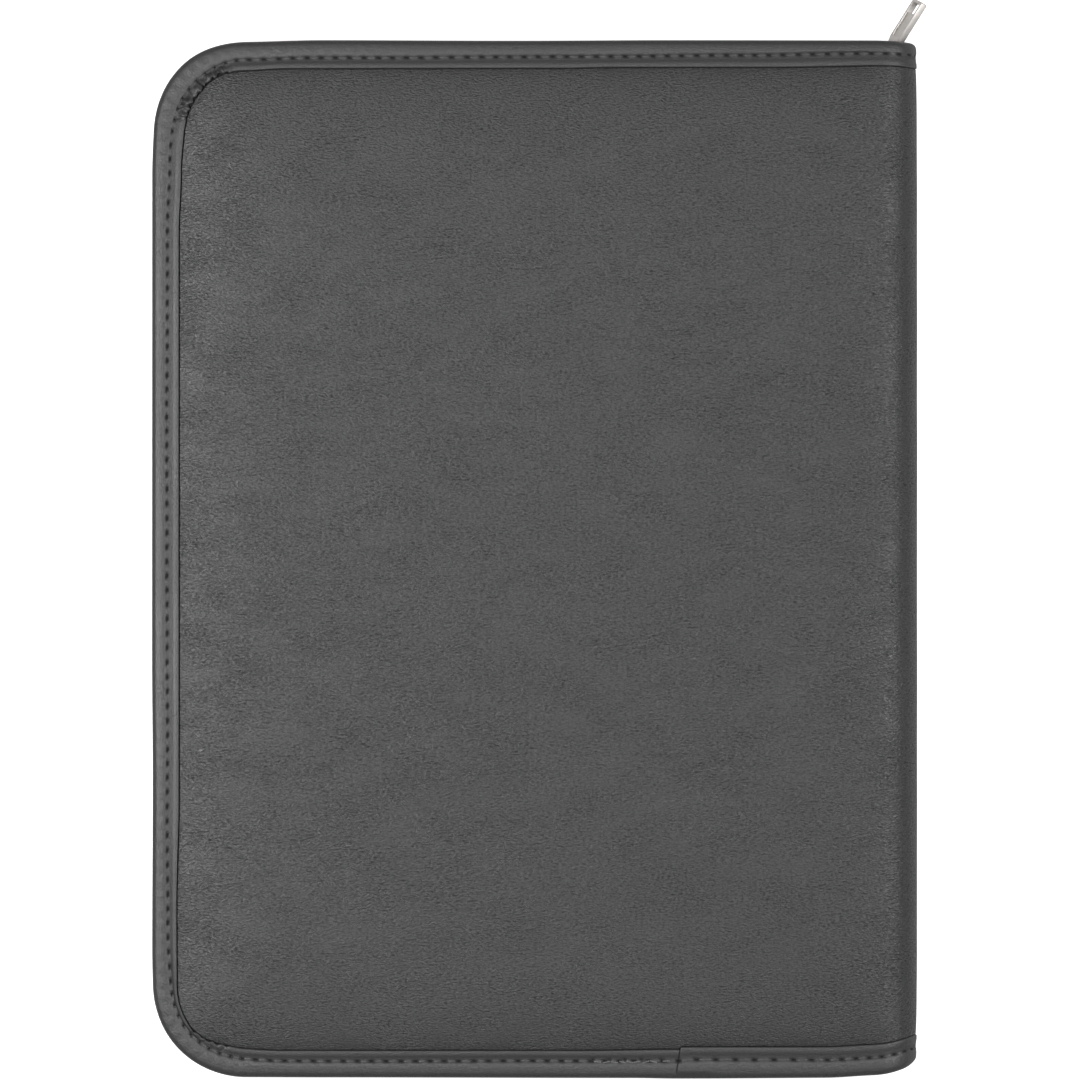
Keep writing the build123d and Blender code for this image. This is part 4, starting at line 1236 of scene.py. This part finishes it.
def binding_stitches(name, side):
    """Threads of the one line of stitches, on both faces, with the seam's restitched end, in one piece."""
    holes = stitch_places(side)
    between = (holes[1:] + holes[:-1]) / 2
    leg = COVER_LEG_DEPTH - leg_lift(edge_place(between, LEG_STITCH_INSET)[0])
    lap = OVERLAP_RISE * (between < OVERLAP_RUN) * (between > OVERLAP_RUN - 10) if side > 0 else 0
    runs = [sewn_run(name, between, stitch_inset(between, side), STITCH_DEPTH + THREAD_SINK - lap, side, -1),
            sewn_run(name + "_in", between, np.full_like(between, LEG_STITCH_INSET), leg - 0.15, side, 1)]
    grown = [sew(run, THREAD_LENGTH, THREAD_RADIUS, THREAD_ARCH, 0.05, 5, BINDING_THREAD) for run in runs]
    if side > 0:
        again = restitched()
        loose_inset = stitch_inset(again, side) + wander(again, LOOSE_DRIFT_SEED, LOOSE_DRIFT)
        second = sewn_run(name + "_again", again, loose_inset, STITCH_DEPTH - LOOSE_THREAD_RISE, side, -1)
        grown.append(sew(second, LOOSE_THREAD_LENGTH, LOOSE_THREAD_RADIUS, THREAD_ARCH, 0.3, 9, LOOSE_THREAD))
    bpy.ops.object.select_all(action="DESELECT")
    for part in grown:
        part.select_set(True)
    bpy.context.view_layer.objects.active = grown[0]
    bpy.ops.object.join()
    return grown[0]


binding_nodes = {1: ["back_binding", "spine_upper_binding", "spine_middle_binding"],
                 -1: ["front_binding", "spine_lower_binding"]}
for name, side in [("back", 1), ("front", -1)]:
    binding = cover_binding(name + "_edge_binding", side)
    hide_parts(*binding_nodes[side])
    stitches = binding_stitches(name + "_binding_stitches", side)
    for piece in [binding, stitches]:
        bends_with_cover(piece, side)


# Document pocket and card slots: panels of dark cloth, sewn to the front cover's lining on three sides.
# Each has a turned hem along its open edge, and the card slots overlap like steps.
POCKET_COLOR = (0.03, 0.03, 0.032, 1.0)
POCKET_THREAD_COLOR = (0.05, 0.05, 0.052, 1.0)
POCKET_THREADS = 900.0
POCKET_RELIEF = 0.00018
POCKET_CORNER = CORNER - LINING_FIELD - 2.0
POCKET_HEM = 11.0
HEM_SEAM = POCKET_HEM - 1.6
HEM_RISE = 0.14
SEW_INSET = 2.6
SEW_GROOVE = 0.12
SEWN_SHARE = 0.45
POCKET_STITCH = 3.6
POCKET_THREAD_LENGTH = 2.5
POCKET_THREAD_RADIUS = 0.16
POCKET_THREAD_ARCH = 0.14
POCKET_MATERIAL = cloth_material("pocket_cloth", POCKET_COLOR, POCKET_THREADS, 0.4, POCKET_RELIEF)
POCKET_THREAD = thread_material("pocket_thread", POCKET_THREAD_COLOR)


def cloth_grid(low, high, fine, border, coarse, hem):
    """Flat grid of a panel, finer at its sewn edges and hem: x, y, distance from those edges, and cells."""
    x_lines = grid_line((low.x, fine), (low.x + border, coarse), (high.x - border, fine), (high.x, 0))
    y_lines = grid_line((low.y, fine), (low.y + border, coarse), (high.y - hem, 0.4), (high.y, 0))
    x, y = (line.ravel() for line in np.meshgrid(x_lines, y_lines, indexing="ij"))
    edge = np.minimum(np.minimum(x - low.x, high.x - x), y - low.y)
    return x, y, edge, grid_cells(len(x_lines), len(y_lines))


def sewn_panel(name, low, high, corner):
    """Cloth panel in the place of a flat solid: sewn down on three sides, hemmed at its top."""
    x, y, edge, cells = cloth_grid(low, high, 0.4, 4, 2.5, POCKET_HEM + 2)
    if corner > 0:
        from_x = x - low.x
        from_y = y - low.y
        reach = np.hypot(corner - from_x, corner - from_y)
        rounded = (from_x < corner) & (from_y < corner)
        pull = np.where(rounded & (reach > corner), corner / np.maximum(reach, TOUCH), 1)
        cells = cells[(~rounded | (reach <= corner + TOUCH))[cells].any(axis=1)]
        edge = np.where(rounded, np.maximum(corner - reach, 0), edge)
        x = np.where(pull < 1, low.x + corner - (corner - from_x) * pull, x)
        y = np.where(pull < 1, low.y + corner - (corner - from_y) * pull, y)
    from_top = high.y - y
    groove = SEW_GROOVE * np.exp(-((edge - SEW_INSET) / 0.5) ** 2)
    fold = HEM_RISE * hat(from_top, -0.5, 0.3, POCKET_HEM - 0.6, POCKET_HEM + 0.1)
    fold = fold - 0.1 * np.exp(-((from_top - HEM_SEAM) / 0.4) ** 2)
    rolled = ease(edge, -0.2, 0.9) * ease(from_top, -0.3, 0.5)
    stand = (high.z - low.z) * (SEWN_SHARE + (1 - SEWN_SHARE) * rolled)
    face = low.z + stand - groove * rolled + fold * rolled - HEM_RISE
    inner = np.minimum(low.z + 0.02, face - 0.1)
    return two_layers(name, np.column_stack([x, y]), np.column_stack([x, y, face]),
                      np.column_stack([x, y, inner]), cells.tolist(), POCKET_MATERIAL)


def panel_stitches(name, low, high, corner):
    """Threads along the three sewn sides of a panel and under its hem."""
    radius = max(corner - SEW_INSET, 0)
    left = low.x + SEW_INSET
    right = high.x - SEW_INSET
    bottom = low.y + SEW_INSET
    seam = high.y - HEM_SEAM
    top = high.y - 1.5
    places = []
    directions = []
    for start, end in [((left, top), (left, bottom + radius)), ((left + radius, bottom), (right, bottom)),
                       ((right, bottom), (right, top)), ((left + 2, seam), (right - 2, seam))]:
        way = np.subtract(end, start)
        count = int(np.linalg.norm(way) // POCKET_STITCH)
        share = (np.arange(count) + 0.5) / count
        places.append(start + way * share[:, None])
        directions.append(np.tile(way, (count, 1)))
    if radius:
        turn = np.arange(POCKET_STITCH / 2, radius * math.pi / 2, POCKET_STITCH) / radius
        places.append(np.column_stack([left + radius - radius * np.cos(turn),
                                       bottom + radius - radius * np.sin(turn)]))
        directions.append(np.column_stack([np.sin(turn), -np.cos(turn)]))
    run = level_run(name, np.concatenate(places), np.concatenate(directions), high.z - 0.2, 1)
    return sew(run, POCKET_THREAD_LENGTH, POCKET_THREAD_RADIUS, POCKET_THREAD_ARCH, 0.04, 3, POCKET_THREAD)


for node, under, corner in [("document_pocket", "front_lining", POCKET_CORNER),
                            ("card_slot_upper", "document_pocket_panel", 0.0),
                            ("card_slot_lower", "card_slot_upper_panel", 0.0)]:
    low, high = (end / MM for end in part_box(node))
    panel = sewn_panel(node + "_panel", low, high, corner)
    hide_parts(node)
    stitches = panel_stitches(node + "_stitches", low, high, corner)
    for piece in [panel, stitches]:
        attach(piece, "front_cover")


# Pad sleeve: a wide pocket of the same cloth on the back cover's lining, which holds the pad's board.
# It is sewn down on three sides and hemmed along its open top.
SLEEVE_EDGE = 1.3
SLEEVE_SEAM_DEPTH = 0.25


def pad_sleeve_panel(low, high):
    """Sleeve that stands off the lining by the board's thickness and turns down to it at its sewn edges."""
    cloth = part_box("pad_backing_board")[0].z / MM - low.z
    x, y, edge, cells = cloth_grid(low, high, 0.25, 5, 3.0, 14)
    stand = ease(edge, -0.1, SLEEVE_EDGE - 0.1)
    groove = SEW_GROOVE * np.exp(-((high.y - y - HEM_SEAM) / 0.4) ** 2) * stand
    sewn = high.z - SLEEVE_SEAM_DEPTH
    z = sewn - (sewn - low.z) * stand + groove
    inner = np.minimum(np.maximum(z, low.z) + cloth - 0.05, high.z)
    return two_layers("pad_sleeve_panel", np.column_stack([x, y]), np.column_stack([x, y, z]),
                      np.column_stack([x, y, inner]), cells.tolist(), POCKET_MATERIAL)


low, high = (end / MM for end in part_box("pad_sleeve"))
sleeve = pad_sleeve_panel(low, high)
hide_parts("pad_sleeve")
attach(sleeve, "back_cover")


# Writing pad: a block of ruled paper on a grey backing board, with a strip of glued cloth tape over its head.
# The board slides down into the sleeve, so that the paper lies in front of it.
PAPER_COLOR = (0.82, 0.81, 0.76, 1.0)
PAPER_CONTRAST = 0.06
PAPER_RELIEF = 0.00001
SHEET_EDGES = (8.0, 8.0, 9000.0)
RULE_COLOR = (0.28, 0.42, 0.62, 1.0)
RULE_PITCH = 7.1
RULE_WIDTH = 0.3
RULE_HEAD = 30.0
SHEET_BUNDLES = 22
BUNDLE_STEP = (0.02, 0.28)
BUNDLE_SEED = 61
PAD_BOARD_COLOR = (0.30, 0.27, 0.23, 1.0)
HEAD_TAPE_COLOR = (0.05, 0.05, 0.055, 1.0)
HEAD_TAPE_THREADS = 1600.0
HEAD_TAPE_RELIEF = 0.00006
HEAD_TAPE_EDGE = 0.1


def plain_paper(name):
    """Smooth writing paper: the material with its tree, shader, place and colour."""
    material, tree, shader = new_material(name, Roughness=0.75)
    place = object_place(tree)
    fibre = {"Vector": place, "Color": PAPER_COLOR, "Contrast": PAPER_CONTRAST}
    return material, tree, shader, place, finish_group(tree, PULP_FIBRE, fibre, shader, PAPER_RELIEF)["Color"]


def paper_edges():
    """Sides of the block, where its sheets show as lines."""
    material, tree, shader, place, color = plain_paper("paper_edges")
    tone = calc(tree, "MULTIPLY_ADD", noise(tree, place, SHEET_EDGES, 1.0), 0.5, 0.7)
    tree.links.new(scaled(tree, color, tone), shader.inputs["Base Color"])
    return material


def ruled_paper():
    """Face of the block, ruled from below its head."""
    material, tree, shader, place, color = plain_paper("ruled_paper")
    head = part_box("pad_sheets")[1].y - RULE_HEAD * MM
    height = add_node(tree, "ShaderNodeSeparateXYZ", {0: place}).outputs[1]
    below = calc(tree, "SUBTRACT", head, height)
    share = calc(tree, "FRACT", calc(tree, "DIVIDE", below, RULE_PITCH * MM))
    line = calc(tree, "MULTIPLY", calc(tree, "LESS_THAN", share, RULE_WIDTH / RULE_PITCH),
                calc(tree, "GREATER_THAN", below, -0.1 * MM))
    inked = add_node(tree, "ShaderNodeMix", {"Factor": line, "A": color, "B": RULE_COLOR}, data_type="RGBA")
    tree.links.new(inked.outputs[2], shader.inputs["Base Color"])
    return material


def paper_block():
    """Block of sheets in bundles that lie a hair apart, with the ruled face towards the front cover."""
    low, high = (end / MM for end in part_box("pad_sheets"))
    draw = np.random.default_rng(BUNDLE_SEED)
    levels = np.linspace(low.z, high.z, SHEET_BUNDLES + 1)
    head = high.y - 0.02
    rings = []
    for bottom, top in zip(levels, levels[1:]):
        left, right, foot = draw.uniform(*BUNDLE_STEP, 3)
        for z in [bottom, top]:
            rings.append([(low.x + left, low.y + foot, z), (high.x - right, low.y + foot, z),
                          (high.x - right, head, z), (low.x + left, head, z)])
    points = np.array(rings).reshape(-1, 3)
    block = make_piece("pad_paper_block", points, swept_faces(len(rings), 4), paper_edges(), crease=30)
    block.data.materials.append(ruled_paper())
    for face in block.data.polygons:
        if face.normal.z < -0.9 and face.center.z < (low.z + 0.1) * MM:
            face.material_index = 1
    return block


block = paper_block()
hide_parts("pad_sheets")
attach(block, "back_cover")
dress_solid("pad_backing_board", board_material("pad_greyboard", PAD_BOARD_COLOR))
head_cloth = cloth_material("head_tape", HEAD_TAPE_COLOR, HEAD_TAPE_THREADS, 0.3, HEAD_TAPE_RELIEF,
                            place=object_place)
head_tape = rounded_copy("pad_head_strip", "pad_head_tape", head_cloth, HEAD_TAPE_EDGE)
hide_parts("pad_head_tape")
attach(head_tape, "back_cover")


# Pen loop: a band of woven elastic with ribs along it, folded to a loop that stretches round a pen.
# Its two ends are spread flat and sewn to the back cover's lining beside the pad.
PEN_ELASTIC = 0.8
PEN_RIB = 1.25
PEN_RIB_RISE = 0.07
PEN_EDGE_ROUND = 0.18
PEN_LOOP_STEPS = 96
ELASTIC_COLOR = (0.025, 0.025, 0.027, 1.0)
ELASTIC_THREADS = 1600.0
ELASTIC_RELIEF = 0.00015


def pen_loop_band():
    """Loop with its two ends spread flat on the lining, ribbed along the band."""
    low, high = (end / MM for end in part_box("pen_loop"))
    outer = (high.z - low.z) / 2
    centre_x = (low.x + high.x) / 2
    centre_z = (low.z + high.z) / 2
    y = grid_line((low.y, PEN_RIB / 8), (high.y, 0))[:, None]
    turn = np.linspace(0, 2 * math.pi, PEN_LOOP_STEPS, endpoint=False)
    from_lining = np.abs((turn + math.pi) % (2 * math.pi) - math.pi)
    flat_end = outer / np.maximum(np.cos(np.minimum(from_lining, math.pi / 4)), 0.5)
    reach = outer + (flat_end - outer) * (1 - ease(from_lining, math.radians(40), math.radians(52)))
    rib = PEN_RIB_RISE * (np.cos((y - low.y) * 2 * math.pi / PEN_RIB) - 1)
    rounded = PEN_EDGE_ROUND * (np.exp(-(y - low.y) / 0.3) + np.exp(-(high.y - y) / 0.3))
    outside = reach + (rib - rounded) * ease(from_lining, math.radians(45), math.radians(60))
    inside = np.broadcast_to(outer - PEN_ELASTIC - rib * 0.6, outside.shape)
    rings = [np.broadcast_arrays(centre_x + radius * np.sin(turn), y, centre_z + radius * np.cos(turn))
             for radius in (outside, inside)]
    layers = [np.stack(ring, axis=-1).reshape(-1, 3) for ring in rings]
    cells = grid_cells(len(y), PEN_LOOP_STEPS, closed=True).tolist()
    flat = np.stack(np.broadcast_arrays(turn * outer, y), axis=-1).reshape(-1, 2)
    elastic = cloth_material("pen_loop_elastic", ELASTIC_COLOR, ELASTIC_THREADS, 0.5, ELASTIC_RELIEF)
    return two_layers("pen_loop_band", flat, *layers, cells, elastic, crease=60)


band = pen_loop_band()
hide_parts("pen_loop")
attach(band, "back_cover")


# Photo set: a white table seen from straight above, under a long narrow lamp that runs across the cover.
# A softbox on the left is the strongest light, and two weaker ones on the right light the roll of the spine.
CAMERA_CENTRE = (1.51, 6.3)
CAMERA_HEIGHT = 3000.0
FRAME_WIDTH = 353.9
NOSE_HEIGHT = 21.65
SENSOR = 36.0
TABLE_HALF = 4.0
TABLE_DROP = 0.1
TABLE_COLOR = (0.6, 0.6, 0.6, 1.0)
WHITE = (1.0, 1.0, 1.0, 1.0)
SKY_SEEN = 0.9
SKY_GLOW = 0.1

# Each lamp's name, its place and size in metres, and its power in watts.
LAMPS = [("overhead_strip", (0.2, 0.03, 1.3), (1.7, 0.14), 7.0),
         ("left_softbox", (-0.45, 0.02, 0.75), (0.25, 0.14), 4.9),
         ("right_softbox", (1.1, 0.08, 0.9), (0.6, 0.25), 5.8),
         ("right_fill", (0.65, 0.05, 1.15), (0.3, 0.25), 2.3)]

for name, (x, y, z), (width, length), power in LAMPS:
    lamp = bpy.data.lights.new(name, "AREA")
    lamp.shape = "RECTANGLE"
    lamp.size = width
    lamp.size_y = length
    lamp.energy = power
    holder = place_object(name, lamp)
    holder.location = (x, y, z)
    holder.rotation_euler = (math.atan2(-y, z), math.atan2(x, z), 0)

table_mesh = bpy.data.meshes.new("table")
table_corners = [(x * TABLE_HALF, y * TABLE_HALF, -TABLE_DROP * MM)
                 for x, y in [(-1, -1), (1, -1), (1, 1), (-1, 1)]]
table_mesh.from_pydata(table_corners, [], [(0, 1, 2, 3)])
table_white, table_tree, table_shader = new_material("table_white", Base_Color=TABLE_COLOR, Roughness=0.9,
                                                     Emission_Color=WHITE)
seen = add_node(table_tree, "ShaderNodeLightPath").outputs["Is Camera Ray"]
table_tree.links.new(seen, table_shader.inputs["Emission Strength"])
table_mesh.materials.append(table_white)
table = place_object("table", table_mesh)

world = bpy.context.scene.world or bpy.data.worlds.new("studio")
bpy.context.scene.world = world
world.use_nodes = True
sky = world.node_tree.nodes["Background"]
sky.inputs["Color"].default_value = WHITE
seen = add_node(world.node_tree, "ShaderNodeLightPath").outputs["Is Camera Ray"]
glow = calc(world.node_tree, "MULTIPLY_ADD", seen, SKY_SEEN, SKY_GLOW)
world.node_tree.links.new(glow, sky.inputs["Strength"])

camera = bpy.data.cameras.new("camera")
camera.sensor_width = SENSOR
camera.lens = SENSOR * (CAMERA_HEIGHT + TOP - NOSE_HEIGHT) / FRAME_WIDTH
camera_holder = place_object("camera", camera)
camera_holder.location = (CAMERA_CENTRE[0] * MM, CAMERA_CENTRE[1] * MM, (CAMERA_HEIGHT + TOP) * MM)
bpy.context.scene.camera = camera_holder
bpy.context.scene.view_settings.view_transform = "Standard"
